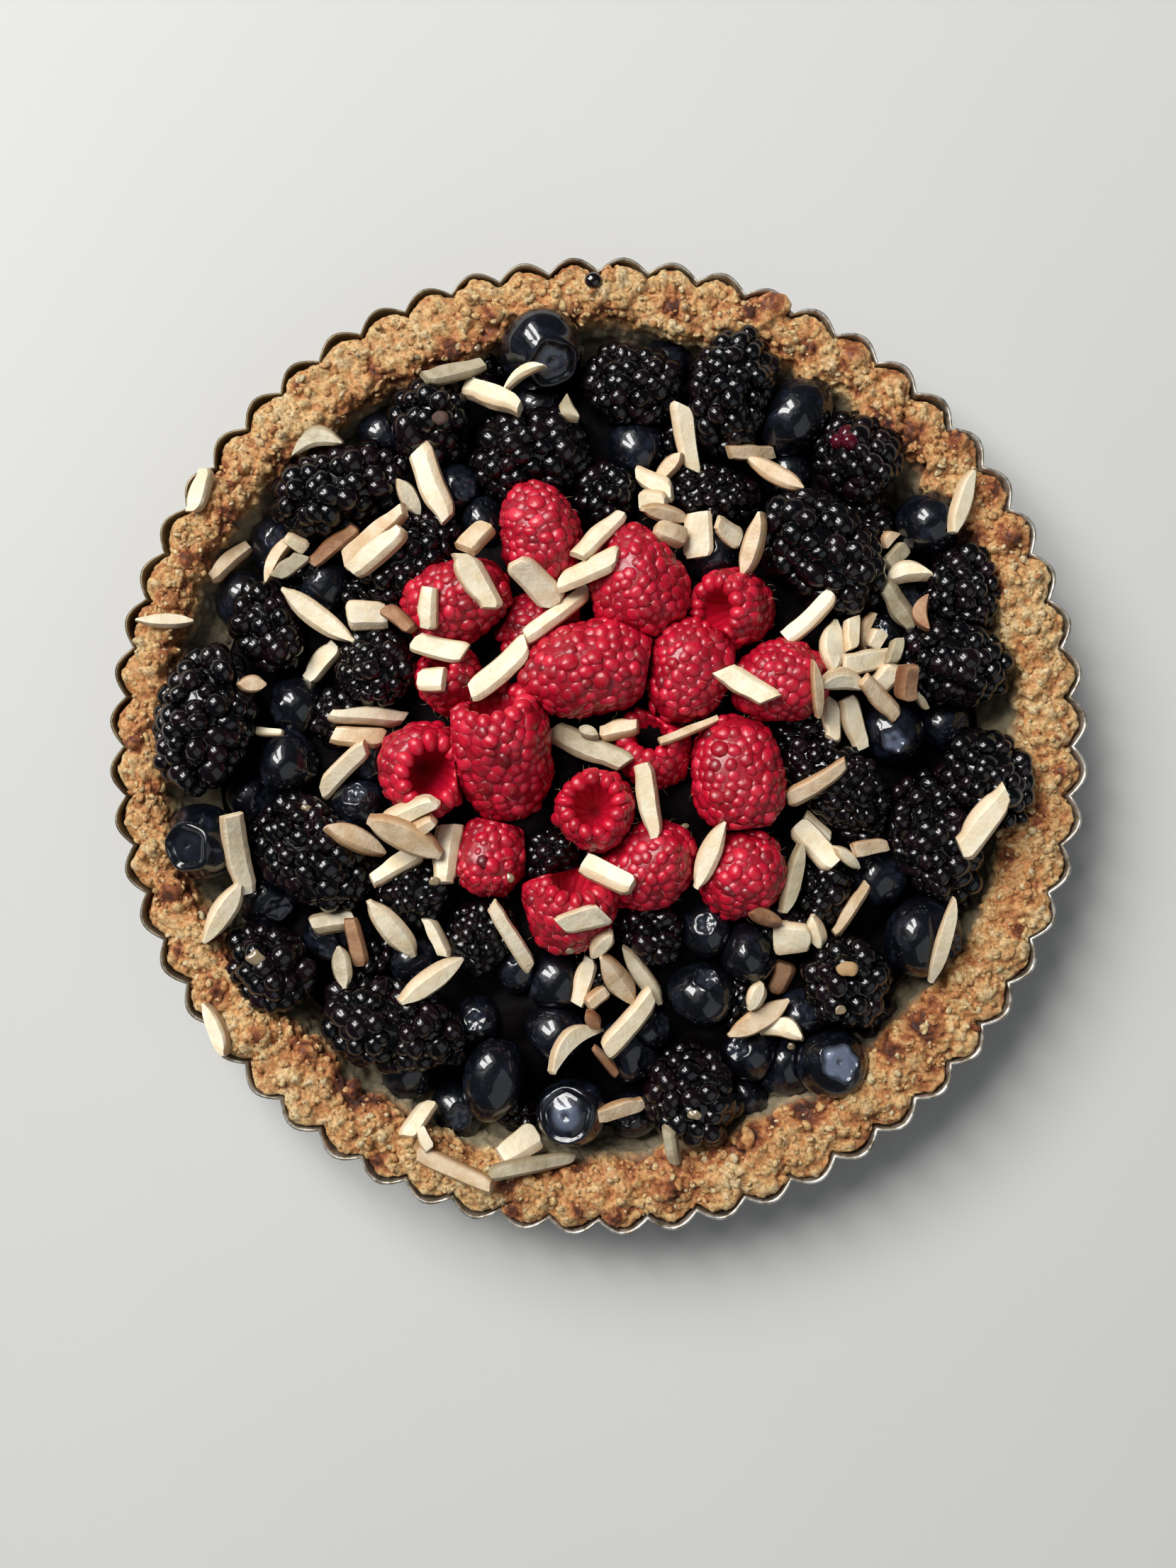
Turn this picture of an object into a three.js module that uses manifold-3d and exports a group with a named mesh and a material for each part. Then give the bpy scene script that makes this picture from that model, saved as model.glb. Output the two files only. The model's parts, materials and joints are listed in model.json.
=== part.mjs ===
// A berry tart in its fluted tin: an oat pastry case filled with dark berries, a ring of brambles
// and blueberries round a crown of raspberries, and slivered almonds scattered over the top.
// Lengths are millimetres. +Z is up, the tin stands on z = 0 and its axis is x = y = 0.
import * as THREE from "three";
import { mergeVertices } from "three/addons/utils/BufferGeometryUtils.js";
import Module from "manifold-3d";

const wasm = await Module();
wasm.setup();

// The tin.
const TIN_TOP_RADIUS = 122;
const TIN_FOOT_RADIUS = 116;
const TIN_HEIGHT = 27;
const TIN_WALL = 0.8;
const FLUTES = 60;
const FLUTE_DEPTH = 3.4;
const TIN_COLUMNS = 3 * FLUTES;

// The pastry.
const CRUST_COLUMNS = 2 * FLUTES;
const CRUST_FLOOR = 8;
const CRUST_TOP = 28;
const CRUST_EDGE_RADIUS = 106.5;
const CRUST_FOOT_RADIUS = 98;
const CRUST_FOOT = 12;
const CRUST_SHRINK = 1.2; // how far the baked pastry's shoulder has drawn back from the tin
const SHOULDER_DROP = 1.5; // how far the rim's outer shoulder lies under its top
const EDGE_DROP = 4; // how far the rim's inner edge lies under its top
const TIN_CLEARANCE = 0.5; // room for the flutes' curve between the pastry and the tin
const CRAG_REACH = 0.8; // how far a crag stands out, for each millimetre that it stands up
const WALL_CLEARANCE = 3.8; // berries keep this far inside the mean wall, whose edge wanders

// The dark filling that the berries lie in, a low dome.
const FILLING_RADIUS = 96;
const FILLING_TOP = 26;
const FILLING_FALL = 10; // from its middle to FILLING_FALL_RADIUS
const FILLING_FALL_RADIUS = 85;
const FILLING_COLUMNS = 24;
const SUNKEN_RISE = 0.1; // how far a sunken berry's centre stands over the filling, in widths

// What lies together keeps this gap, and an almond sinks this far into what carries it.
const GAP = 0.35;
const ALMOND_SINK = 0.9;
const ALMOND_THICKNESS = 2.6;
const ALMOND_SLANT = 0.5; // how much its ends are cut on the slant
const ALMOND_ENDS = [0.6, 0.85]; // the widths of its two ends, as shares
const ALMOND_SHORTER = [1, 0.85, 0.7]; // lengths to try where a whole sliver can't lie clear

// A berry of drupelets. It is open under this lift of its tip, and its hollow narrows inwards.
const BERRY_COLUMNS = 8;
const BERRY_RINGS = 5;
const OPEN_LIFT = -30;
const HOLLOW = { mouth: 0.25, end: 0.15, depth: 0.65 }; // radii as shares of the width, depth of the length

// A blueberry: how far its crown's dimple lies from its middle, and the crown's ring, as shares.
const BLUEBERRY_RINGS = 3;
const BLUEBERRY_STEP = 40.5; // degrees from one ring to the next
const BLUEBERRY_DIMPLE = 0.78;
const BLUEBERRY_CROWN = [
  { radius: 0.36, height: 1 },
  { radius: 0.2, height: 0.8 },
];

const SEED = 7;
const TAU = 2 * Math.PI;

// Each berry: x, y and z of its centre, its length and width, the heading of its tip seen from
// above, and how far the tip is lifted (90 is tip up, -90 is tip down with the hollow showing).
const BRAMBLES = [
  [-64.5, 64, 25, 36, 23, 18, 0],
  [-41, 81, 24, 24, 22, 0, -75],
  [-17, 73, 24, 30, 25, 5, 0],
  [8.5, 90, 24, 27, 21, -12, 0],
  [33, 89, 26, 34, 22, 73, 8],
  [64.5, 72.5, 24, 24, 22, -45, 60],
  [55.5, 48, 27, 38, 26, -45, 0],
  [28.5, 63, 23, 25, 17, 0, 0],
  [-46.5, 46.5, 25, 30, 20, 40, 0],
  [-82.5, 29.5, 24, 24, 18, -57, 0],
  [-97.5, 7, 28, 37, 25, 78, 0],
  [-55, 19.5, 26, 22, 21, 0, 70],
  [-70, -27, 25, 35, 25, -40, 0],
  [-46, -36, 25, 21, 19, 30, 60],
  [-82, -55.5, 24, 25, 21, -50, 20],
  [-51.5, -69.5, 25, 37, 24, -12, 0],
  [-29, -47, 25, 21, 18, 60, 30],
  [23, -87, 24, 26, 23, -60, 20],
  [61.5, -58, 26, 24, 23, 30, -80],
  [89, 21, 26, 29, 22, -10, 0],
  [91.5, 39, 24, 22, 20, 90, 20],
  [96.5, -8, 28, 26, 22, -50, 0],
  [84, -23, 25, 34, 23, -65, 0],
  [58.5, -8, 26, 36, 20, -42, 0],
];
const RASPBERRIES = [
  [-14.5, 53, 32, 24, 21, 100, 10],
  [-34, 36, 31, 27, 22, 20, 15],
  [-14.5, 31, 26, 22, 17, 30, 0],
  [9.5, 41, 32, 28, 24, 105, 5],
  [-3.5, 18.5, 34, 33, 24.5, 192, 5],
  [22, 17.5, 33, 25, 22, 250, 8],
  [43.5, 15.5, 32, 23, 21, 190, 5],
  [34.5, 34, 29, 20, 20.5, 10, -50],
  [-35.5, 15, 28, 18, 17.5, -50, -45],
  [-43.5, -5, 29, 22, 24, -20, -60],
  [-23.5, -4, 32.5, 34, 26, 280, -32],
  [-27, -28, 29, 21, 19, 250, 35],
  [-0.5, -16, 32, 19, 21, -60, -78],
  [14, -2, 27, 20, 20, -70, -55],
  [34, -6, 32, 29, 24, 98, 5],
  [13.5, -29, 30, 25, 22, 40, 20],
  [36, -31, 30, 23, 21, 60, 25],
  [-7.5, -41, 30, 22, 24, -100, -35],
];
const BLUEBERRIES = [
  [-14, 99.5, 25, 19, 20.5, -65, 50],
  [49.5, 83, 23, 22, 16.5, 55, 0],
  [83.5, 56, 23, 16, 17.5, 70, 10],
  [73.5, 4, 23, 16, 17, -110, 70],
  [81, -47.5, 24, 18, 20.5, -20, 35],
  [59, -79, 25, 16, 17.5, 60, 82],
  [-98.5, -24, 27, 18, 19.5, 200, 70],
  [-75.5, 10, 23, 14, 15.5, 200, 40],
  [-77.5, -4, 24, 13.5, 16.5, 0, 20],
  [-60, -14.5, 23, 13, 14.5, 110, 60],
  [-26.5, -83.5, 24, 21, 15.5, 75, 0],
  [-7, -91.5, 25, 16, 18, 160, 78],
  [-11, -72, 24, 14, 16, 40, 10],
  [26, -62, 24, 15, 17, 80, 55],
  [37.5, -52, 25, 14, 15.5, 0, 20],
];
// The berries that only look out between the others: x, y and width. They are part of the filling.
const SUNKEN_BERRIES = [
  [-15, 86, 14], [18, 98, 14], [9, 75, 16], [71, -33, 15], [48, -81, 15], [52, -68, 13],
  [-10.5, -58, 14], [-36, -92, 14], [27, -46, 14], [-49, -84, 13], [-84, -40, 15], [-87, -13, 14],
  [-89, 38, 16], [-81, 51, 16], [-68, 41, 16], [-35, 65, 14], [27, 49, 15], [75, 33, 15],
  [-46, -53, 14], [47, 69, 14], [2, 62, 18], [55, -36, 17], [12, -46, 18], [71, 18, 14],
  [7.5, -76, 17],
];
// The larger almond slivers, as they lie seen from above: the two ends and the width.
const ALMONDS = [
  [-98.8, 68.8, -101, 59.5, 6], [-62.4, 46.9, -47.4, 57.3, 5.6], [-42.8, 72.5, -37.2, 56, 6],
  [-43, 91, -30, 94.3, 4.6], [-33, 88.6, -20, 83.6, 4.5], [20.2, 83.7, 22.9, 68.7, 4.8],
  [24, 57, 24.8, 46.9, 6.5], [39.8, 55.6, 36.5, 42.5, 4], [36.7, 72, 49.9, 62.5, 4.4],
  [5.2, 56.4, -4.4, 45.8, 4.4], [4.3, 44.9, -9.5, 39.3, 5], [-19, 44, -11, 36, 6],
  [-33.3, 45.7, -27, 33, 6.6], [-41.3, 37.5, -41.1, 28.2, 4.4], [-44.8, 24.5, -33.3, 22.6, 4.8],
  [-17.7, 24.1, -29.9, 12.9, 6], [-2.4, 38.2, -17.3, 26.3, 4], [-114.1, 32.2, -100.5, 32.1, 3.6],
  [-78.3, 39.3, -60.5, 26.2, 5], [-61.6, 31.6, -52.6, 32.7, 6], [-66.5, 26.2, -73.4, 16.1, 4.4],
  [-90, -17.5, -87.8, -34.4, 5.2], [-66.3, -20.7, -53.4, -26.2, 4.6], [-55.3, -19, -38.6, -25.3, 6],
  [-36.7, -19.4, -37, -33.2, 5], [-11.4, 4.4, 6.3, -4.9, 4.8], [9.6, -5.2, 12.6, -22.6, 4.4],
  [-3, -29.5, 7.9, -33.8, 4.8], [31.1, 17.2, 41.5, 11.2, 5], [1.3, -39.5, -8.7, -43.2, 5],
  [-25.8, -39.5, -17, -53.7, 3.2], [-55.6, -38.4, -45.6, -51.4, 5], [-33.9, -52.4, -48, -62.2, 5],
  [-71.2, -45, -60, -43.6, 4.6], [-97.9, -63.5, -93.3, -76.4, 4], [-44, -101, -26, -106.4, 5],
  [-24, -102, -15, -96.3, 5], [0, -69.3, -12.3, -78.6, 4.2], [14.2, -61.6, 1.1, -75.8, 5.2],
  [6.3, -49.4, 15.3, -63.8, 4.4], [-0.3, -92.7, 10.9, -87.8, 4.6], [47.7, -63.2, 32.2, -72.7, 5],
  [66.6, -34.3, 58.7, -46.3, 3.4], [57.5, 36.8, 46.6, 26.2, 4], [58.4, 30.3, 57, 18.3, 6.2],
  [60.3, 21, 72, 23.2, 5.4], [53.7, 15.3, 66, 15.3, 5.2], [57.3, 11.7, 56.7, 1.9, 5],
  [71.7, 38.2, 76.9, 31.1, 4.2], [91.6, 68.2, 89.2, 52.7, 5], [59.7, -4.4, 47.5, -13.1, 4.4],
  [98.7, -10.9, 88.9, -25.7, 7], [49.4, -19.9, 58.4, -28.9, 5], [50.2, -25.7, 46.1, -41, 4],
  [86.2, -37.5, 81.7, -58.6, 4.6],
];

const TIN_METAL = new THREE.MeshStandardMaterial({ color: 0x6b6258, roughness: 0.45, metalness: 0.9 });
const PASTRY = new THREE.MeshStandardMaterial({ color: 0xc18a4c, roughness: 0.9, metalness: 0 });
const DARK_FRUIT = new THREE.MeshStandardMaterial({ color: 0x0d0a10, roughness: 0.25, metalness: 0 });
const BRAMBLE_SKIN = new THREE.MeshStandardMaterial({ color: 0x0f0b10, roughness: 0.15, metalness: 0 });
const RASPBERRY_SKIN = new THREE.MeshStandardMaterial({ color: 0xb3122a, roughness: 0.35, metalness: 0 });
const BLUEBERRY_SKIN = new THREE.MeshStandardMaterial({ color: 0x151a2a, roughness: 0.2, metalness: 0 });

// A seeded draw from 0 to 1, the same every time.
function seededDraw(seed) {
  let state = seed;
  return () => {
    state = (state + 0x6d2b79f5) | 0;
    let t = Math.imul(state ^ (state >>> 15), 1 | state);
    t = (t + Math.imul(t ^ (t >>> 7), 61 | t)) ^ t;
    return ((t ^ (t >>> 14)) >>> 0) / 4294967296;
  };
}

// A closed solid from a three.js geometry, with its faces pointing out.
function solidOf(geometry) {
  const bare = geometry.clone();
  for (const name of Object.keys(bare.attributes)) if (name !== "position") bare.deleteAttribute(name);
  const merged = mergeVertices(bare, 1e-4);
  const index = merged.index.array;
  const corners = [];
  for (let i = 0; i < index.length; i += 3) {
    const [a, b, c] = [index[i], index[i + 1], index[i + 2]];
    if (a !== b && b !== c && c !== a) corners.push(a, b, c);
  }
  const build = (triangles) =>
    new wasm.Manifold(
      new wasm.Mesh({
        numProp: 3,
        vertProperties: merged.attributes.position.array,
        triVerts: new Uint32Array(triangles),
      }),
    );
  const made = build(corners);
  return made.volume() > 0 ? made : build(corners.slice().reverse());
}

function geometryOf(solid) {
  const mesh = solid.getMesh();
  return new THREE.BufferGeometry()
    .setAttribute("position", new THREE.BufferAttribute(mesh.vertProperties, 3))
    .setIndex(new THREE.BufferAttribute(mesh.triVerts, 1));
}

// The largest piece of a solid that a cut has divided.
function largest(solid) {
  return solid.decompose().reduce((a, b) => (b.volume() > a.volume() ? b : a));
}

// A turned form about +Z. place(angle, row, column) gives the radius and height of each point.
function turned(rows, columns, place) {
  const onAxis = (row) => row === 0 || row === rows - 1;
  const outline = Array.from({ length: rows }, (_, row) => new THREE.Vector2(onAxis(row) ? 0 : 1, row));
  const geometry = new THREE.LatheGeometry(outline, columns);
  const position = geometry.attributes.position;
  for (let k = 0; k < position.count; k++) {
    const row = k % rows;
    const column = Math.floor(k / rows) % columns;
    const angle = (column / columns) * TAU;
    const { radius, height } = place(angle, row, column);
    position.setXYZ(k, radius * Math.cos(angle), radius * Math.sin(angle), height);
  }
  return geometry;
}

// How far the flutes draw the wall in at this angle: nothing at a crest, all of the depth at a notch.
function fluteDraw(angle) {
  return FLUTE_DEPTH * (1 - Math.abs(Math.sin((FLUTES * angle) / 2)));
}

// The crest radius of the tin's outer face at a height.
function tinRadius(height) {
  return TIN_FOOT_RADIUS + ((TIN_TOP_RADIUS - TIN_FOOT_RADIUS) * height) / TIN_HEIGHT;
}

function tinSolid() {
  const profile = [
    [0, 0],
    [tinRadius(0), 0],
    [tinRadius(TIN_HEIGHT), TIN_HEIGHT],
    [tinRadius(TIN_HEIGHT) - TIN_WALL, TIN_HEIGHT],
    [tinRadius(TIN_WALL) - TIN_WALL, TIN_WALL],
    [0, TIN_WALL],
  ];
  return solidOf(
    turned(profile.length, TIN_COLUMNS, (angle, row) => {
      const [radius, height] = profile[row];
      return { radius: radius ? radius - fluteDraw(angle) : 0, height };
    }),
  );
}

// The pastry case.
function crustSolid() {
  const draw = seededDraw(SEED);
  const inner = (height) => tinRadius(height) - TIN_WALL - TIN_CLEARANCE - GAP;
  const shoulder = CRUST_TOP - SHOULDER_DROP;
  const floor = TIN_WALL + GAP;
  // Radius, height, then how much of the flutes, the crags and the wander of the edge it takes.
  const profile = [
    [0, floor, 0, 0, 0],
    [inner(floor), floor, 1, 0, 0],
    [inner(shoulder) - CRUST_SHRINK, shoulder, 1, 0.5, 0],
    [TIN_TOP_RADIUS - 7.5, CRUST_TOP, 0.45, 1.1, 0.1],
    [CRUST_EDGE_RADIUS + 4, CRUST_TOP - 0.5, 0.1, 1.2, 0.6],
    [CRUST_EDGE_RADIUS, CRUST_TOP - EDGE_DROP, 0, 1, 1],
    [CRUST_FOOT_RADIUS, CRUST_FOOT, 0, 0, 0.4],
    [0, CRUST_FLOOR, 0, 0, 0],
  ];
  const pair = () => [2 * draw() - 1, 2 * draw() - 1];
  const drawn = profile.map(() => Array.from({ length: CRUST_COLUMNS }, pair));
  return solidOf(
    turned(profile.length, CRUST_COLUMNS, (angle, row, column) => {
      const [radius, height, flutes, crags, wander] = profile[row];
      const edge = wander * (1.3 * Math.sin(7 * angle + 1) + 0.9 * Math.sin(17 * angle + 2));
      const [rise, out] = drawn[row][column].map((share) => crags * share);
      if (radius === 0) return { radius, height };
      return {
        radius: radius - flutes * fluteDraw(angle) + edge + CRAG_REACH * out,
        height: height + rise,
      };
    }),
  );
}

// The height of the filling's dome at a distance from the tart's axis.
function fillingHeight(radius) {
  return FILLING_TOP - FILLING_FALL * (radius / FILLING_FALL_RADIUS) ** 2;
}

// The rings of the filling's dome from its rim to its middle.
const DOME_RINGS = [1, 0.8, 0.5, 0].map((share) => {
  const radius = share * FILLING_RADIUS;
  return [radius, fillingHeight(radius)];
});

// A turned form from a list of radii and heights.
function plainTurned(profile) {
  return solidOf(
    turned(profile.length, FILLING_COLUMNS, (angle, row) => {
      const [radius, height] = profile[row];
      return { radius, height };
    }),
  );
}

function domeSolid() {
  const floor = CRUST_FOOT + GAP;
  return plainTurned([[0, floor], [FILLING_RADIUS, floor], ...DOME_RINGS]);
}

// Turns a form made about +Z, tip up, to where the berry lies.
function layDown(geometry, [x, y, z, , , turn, lift]) {
  const lean = new THREE.Matrix4().makeRotationY(THREE.MathUtils.degToRad(90 - lift));
  const heading = new THREE.Matrix4().makeRotationZ(THREE.MathUtils.degToRad(turn));
  return geometry.applyMatrix4(lean).applyMatrix4(heading).translate(x, y, z);
}

// A berry of drupelets: a blunt turned form whose points stand out and in by turns.
function drupeletForm([, , , long, wide], { blunt, taper, bump }) {
  const rows = BERRY_RINGS + 2;
  return turned(rows, BERRY_COLUMNS, (angle, row, column) => {
    const along = -Math.cos((Math.PI * row) / (rows - 1));
    if (row === 0 || row === rows - 1) return { radius: 0, height: (along * long) / 2 };
    const girth = (1 - Math.abs(along) ** blunt) ** 0.5 * (1 - taper * along);
    const stand = (row + column) % 2 ? 1 : 1 - bump;
    return { radius: (girth * wide * stand) / 2, height: (along * long * (0.9 + 0.1 * stand)) / 2 };
  });
}

function brambleSolid(berry) {
  const form = drupeletForm(berry, { blunt: 2.4, taper: 0.08, bump: 0.14 });
  return solidOf(layDown(form, berry));
}

// A raspberry, with the hollow of its core where the open end is turned up.
function raspberrySolid(berry) {
  const [, , , long, wide, , lift] = berry;
  const form = drupeletForm(berry, { blunt: 2.8, taper: 0.14, bump: 0.1 });
  const solid = solidOf(layDown(form, berry));
  if (lift > OPEN_LIFT) return solid;
  const depth = long * HOLLOW.depth;
  const core = new THREE.CylinderGeometry(wide * HOLLOW.end, wide * HOLLOW.mouth, depth, BERRY_COLUMNS - 1);
  core.rotateX(Math.PI / 2).translate(0, 0, (depth - long) / 2);
  return solid.subtract(solidOf(layDown(core, berry)));
}

// A blueberry: a round form with the dimple of its crown at the tip.
function blueberrySolid(berry) {
  const [, , , long, wide] = berry;
  const rows = BLUEBERRY_RINGS + BLUEBERRY_CROWN.length + 2;
  const form = turned(rows, BERRY_COLUMNS, (angle, row) => {
    if (row === 0) return { radius: 0, height: -long / 2 };
    if (row === rows - 1) return { radius: 0, height: (BLUEBERRY_DIMPLE * long) / 2 };
    const polar = THREE.MathUtils.degToRad(BLUEBERRY_STEP * row);
    const side = { radius: Math.sin(polar), height: -Math.cos(polar) };
    const share = row <= BLUEBERRY_RINGS ? side : BLUEBERRY_CROWN[row - BLUEBERRY_RINGS - 1];
    return { radius: (share.radius * wide) / 2, height: (share.height * long) / 2 };
  });
  return solidOf(layDown(form, berry));
}

// A berry as a spheroid, for finding where two press together.
function spheroid([x, y, z, long, wide, turn, lift]) {
  const axis = new THREE.Vector3(0, 0, 1)
    .applyAxisAngle(new THREE.Vector3(0, 1, 0), THREE.MathUtils.degToRad(90 - lift))
    .applyAxisAngle(new THREE.Vector3(0, 0, 1), THREE.MathUtils.degToRad(turn));
  return { centre: new THREE.Vector3(x, y, z), axis, long: long / 2, wide: wide / 2 };
}

// How far a spheroid reaches from its centre along a direction.
function reach(form, direction) {
  const along = form.axis.dot(direction);
  return Math.sqrt((form.long * along) ** 2 + form.wide ** 2 * (1 - along ** 2));
}

// The plane that best parts two spheroids: its direction from a to b, and the room between them.
function partingPlane(a, b) {
  const apart = b.centre.clone().sub(a.centre);
  const room = (d) => apart.dot(d) - reach(a, d) - reach(b, d);
  let best = apart.clone().normalize();
  for (let step = 0.5; step > 0.02; step *= 0.6) {
    const side = new THREE.Vector3(0.3, 0.5, 0.8).cross(best).normalize();
    const other = side.clone().cross(best);
    for (const way of [side, other, side.clone().negate(), other.clone().negate()]) {
      const tried = best.clone().addScaledVector(way, step).normalize();
      if (room(tried) > room(best)) best = tried;
    }
  }
  return { direction: best, room: room(best) };
}

// Everything past a plane, as a block to cut away.
function blockPast(point, direction) {
  const size = 3 * TIN_TOP_RADIUS;
  const block = new THREE.BoxGeometry(size, size, size).translate(0, 0, size / 2);
  block.applyQuaternion(new THREE.Quaternion().setFromUnitVectors(new THREE.Vector3(0, 0, 1), direction));
  return solidOf(block.translate(point.x, point.y, point.z));
}

// Cuts a berry flat where it would reach into the filling's dome or the pastry's wall.
function seat(solid, { centre }, onDome) {
  const distance = Math.hypot(centre.x, centre.y);
  const outward = new THREE.Vector3(centre.x, centre.y, 0).divideScalar(distance);
  const wallLean = (CRUST_EDGE_RADIUS - CRUST_FOOT_RADIUS) / (CRUST_TOP - EDGE_DROP - CRUST_FOOT);
  const intoWall = outward.clone().setZ(-wallLean).normalize();
  const onWall = outward.clone().multiplyScalar(CRUST_FOOT_RADIUS - WALL_CLEARANCE).setZ(CRUST_FOOT);
  const seated = solid.subtract(blockPast(onWall, intoWall));
  if (!onDome) return seated;
  const fall = (2 * FILLING_FALL * distance) / FILLING_FALL_RADIUS ** 2;
  const intoDome = outward.clone().multiplyScalar(-fall).setZ(-1).normalize();
  const underneath = centre.clone().setZ(fillingHeight(distance) + GAP);
  return largest(seated.subtract(blockPast(underneath, intoDome)));
}

// Presses berries flat against each other wherever two would share room.
function pressTogether(berries) {
  for (let i = 0; i < berries.length; i++) {
    for (let j = i + 1; j < berries.length; j++) {
      const [a, b] = [berries[i], berries[j]];
      const { direction, room } = partingPlane(a.form, b.form);
      if (room >= GAP) continue;
      const middle = reach(a.form, direction) + room / 2;
      const pointA = a.form.centre.clone().addScaledVector(direction, middle - GAP / 2);
      const pointB = a.form.centre.clone().addScaledVector(direction, middle + GAP / 2);
      a.solid = a.solid.subtract(blockPast(pointA, direction));
      b.solid = b.solid.subtract(blockPast(pointB, direction.clone().negate()));
    }
  }
}

// An almond sliver lying along +X about the origin: a stick with slanting ends, one the narrower.
function almondForm(long, wide, thick) {
  const stick = new THREE.BoxGeometry(long, wide, thick);
  const position = stick.attributes.position;
  for (let k = 0; k < position.count; k++) {
    const y = position.getY(k);
    position.setX(k, position.getX(k) + ALMOND_SLANT * y);
    position.setY(k, y * ALMOND_ENDS[position.getX(k) > 0 ? 0 : 1]);
  }
  return stick;
}

const ABOVE = 100;
const DOWN = new THREE.Vector3(0, 0, -1);
const ray = new THREE.Raycaster();

// The highest node under a point seen from above, and its height there.
function topAt(nodes, x, y) {
  ray.set(new THREE.Vector3(x, y, ABOVE), DOWN);
  let found = { z: CRUST_FLOOR, node: null };
  for (const node of nodes) {
    const { min, max } = node.shape.geometry.boundingBox;
    if (x < min.x || x > max.x || y < min.y || y > max.y) continue;
    const [hit] = ray.intersectObject(node.shape);
    if (hit && hit.point.z > found.z) found = { z: hit.point.z, node };
  }
  return found;
}

function reshape(node, solid) {
  node.solid = solid;
  node.shape = new THREE.Mesh(geometryOf(solid));
  node.shape.geometry.computeBoundingBox();
}

// The line that rests on the samples at both sides of the middle: its height there and its slope.
function restingLine(samples) {
  let best = { height: -Infinity, slope: 0, holders: [] };
  for (const left of samples.filter((s) => s.at <= 0)) {
    for (const right of samples.filter((s) => s.at > 0)) {
      const slope = (right.z - left.z) / (right.at - left.at);
      const height = left.z - slope * left.at;
      if (height > best.height) best = { height, slope, holders: [left, right] };
    }
  }
  return best;
}

// Lays one almond sliver on what is under it and joins it to that node. False if it can't lie clear.
function layAlmond(nodes, [x0, y0, x1, y1, wide], share) {
  const [x, y] = [(x0 + x1) / 2, (y0 + y1) / 2];
  const heading = Math.atan2(y1 - y0, x1 - x0);
  const long = share * Math.hypot(x1 - x0, y1 - y0);
  const samples = [];
  for (let step = -4; step <= 4; step++) {
    const at = (step / 8) * long;
    for (const side of [-0.3, 0, 0.3]) {
      const px = x + at * Math.cos(heading) - side * wide * Math.sin(heading);
      const py = y + at * Math.sin(heading) + side * wide * Math.cos(heading);
      samples.push({ at, ...topAt(nodes, px, py) });
    }
  }
  const [near] = restingLine(samples).holders.sort((a, b) => Math.abs(a.at) - Math.abs(b.at));
  const host = near.node;
  if (!host || host.material === TIN_METAL) return false;
  for (const sample of samples) sample.z += sample.node === host ? -ALMOND_SINK : 1.5 * GAP;
  const { height, slope } = restingLine(samples);
  const place = (grow) => {
    const almond = almondForm(long + grow, wide + grow, ALMOND_THICKNESS + grow);
    almond.rotateY(-Math.atan(slope)).rotateZ(heading);
    return solidOf(almond.translate(x, y, height + ALMOND_THICKNESS / 2));
  };
  const cleared = place(2 * GAP);
  for (const node of nodes) {
    if (node !== host && node.solid.intersect(cleared).volume() > 0) return false;
  }
  const joined = host.solid.add(place(0));
  if (joined.decompose().length > 1) return false;
  reshape(host, joined);
  return true;
}

function named(prefix, list, solidFor, material) {
  return list.map((berry, k) => ({
    name: `${prefix}_${String(k + 1).padStart(2, "0")}`,
    solid: solidFor(berry),
    form: spheroid(berry),
    material,
  }));
}

const berries = [
  ...named("raspberry", RASPBERRIES, raspberrySolid, RASPBERRY_SKIN),
  ...named("bramble", BRAMBLES, brambleSolid, BRAMBLE_SKIN),
  ...named("blueberry", BLUEBERRIES, blueberrySolid, BLUEBERRY_SKIN),
];
const sunken = SUNKEN_BERRIES.map(([x, y, wide]) => {
  const z = fillingHeight(Math.hypot(x, y)) + SUNKEN_RISE * wide;
  const ball = new THREE.SphereGeometry(wide / 2, 6, 4).rotateX(Math.PI / 2).translate(x, y, z);
  return { solid: solidOf(ball), form: spheroid([x, y, z, wide, wide, 0, 0]) };
});
pressTogether([...berries, ...sunken]);

for (const berry of berries) berry.solid = seat(berry.solid, berry.form, true);

let filling = domeSolid();
for (const berry of sunken) filling = filling.add(seat(berry.solid, berry.form, false));
const underside = new THREE.Vector3(0, 0, CRUST_FOOT + GAP);
filling = largest(filling.subtract(blockPast(underside, DOWN)));

const nodes = [
  { name: "tart_tin", solid: tinSolid(), material: TIN_METAL },
  { name: "crust", solid: crustSolid(), material: PASTRY },
  { name: "filling", solid: filling, material: DARK_FRUIT },
  ...berries,
];
for (const node of nodes) reshape(node, node.solid);

for (const almond of ALMONDS) ALMOND_SHORTER.some((share) => layAlmond(nodes, almond, share));

const tart = new THREE.Group();
tart.name = "berry_tart";
for (const node of nodes) {
  const mesh = new THREE.Mesh(node.shape.geometry, node.material);
  mesh.name = node.name;
  tart.add(mesh);
}

export default tart;
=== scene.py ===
import json
import math

import bmesh
import bpy
import numpy as np
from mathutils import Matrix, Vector
from mathutils.bvhtree import BVHTree

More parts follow.
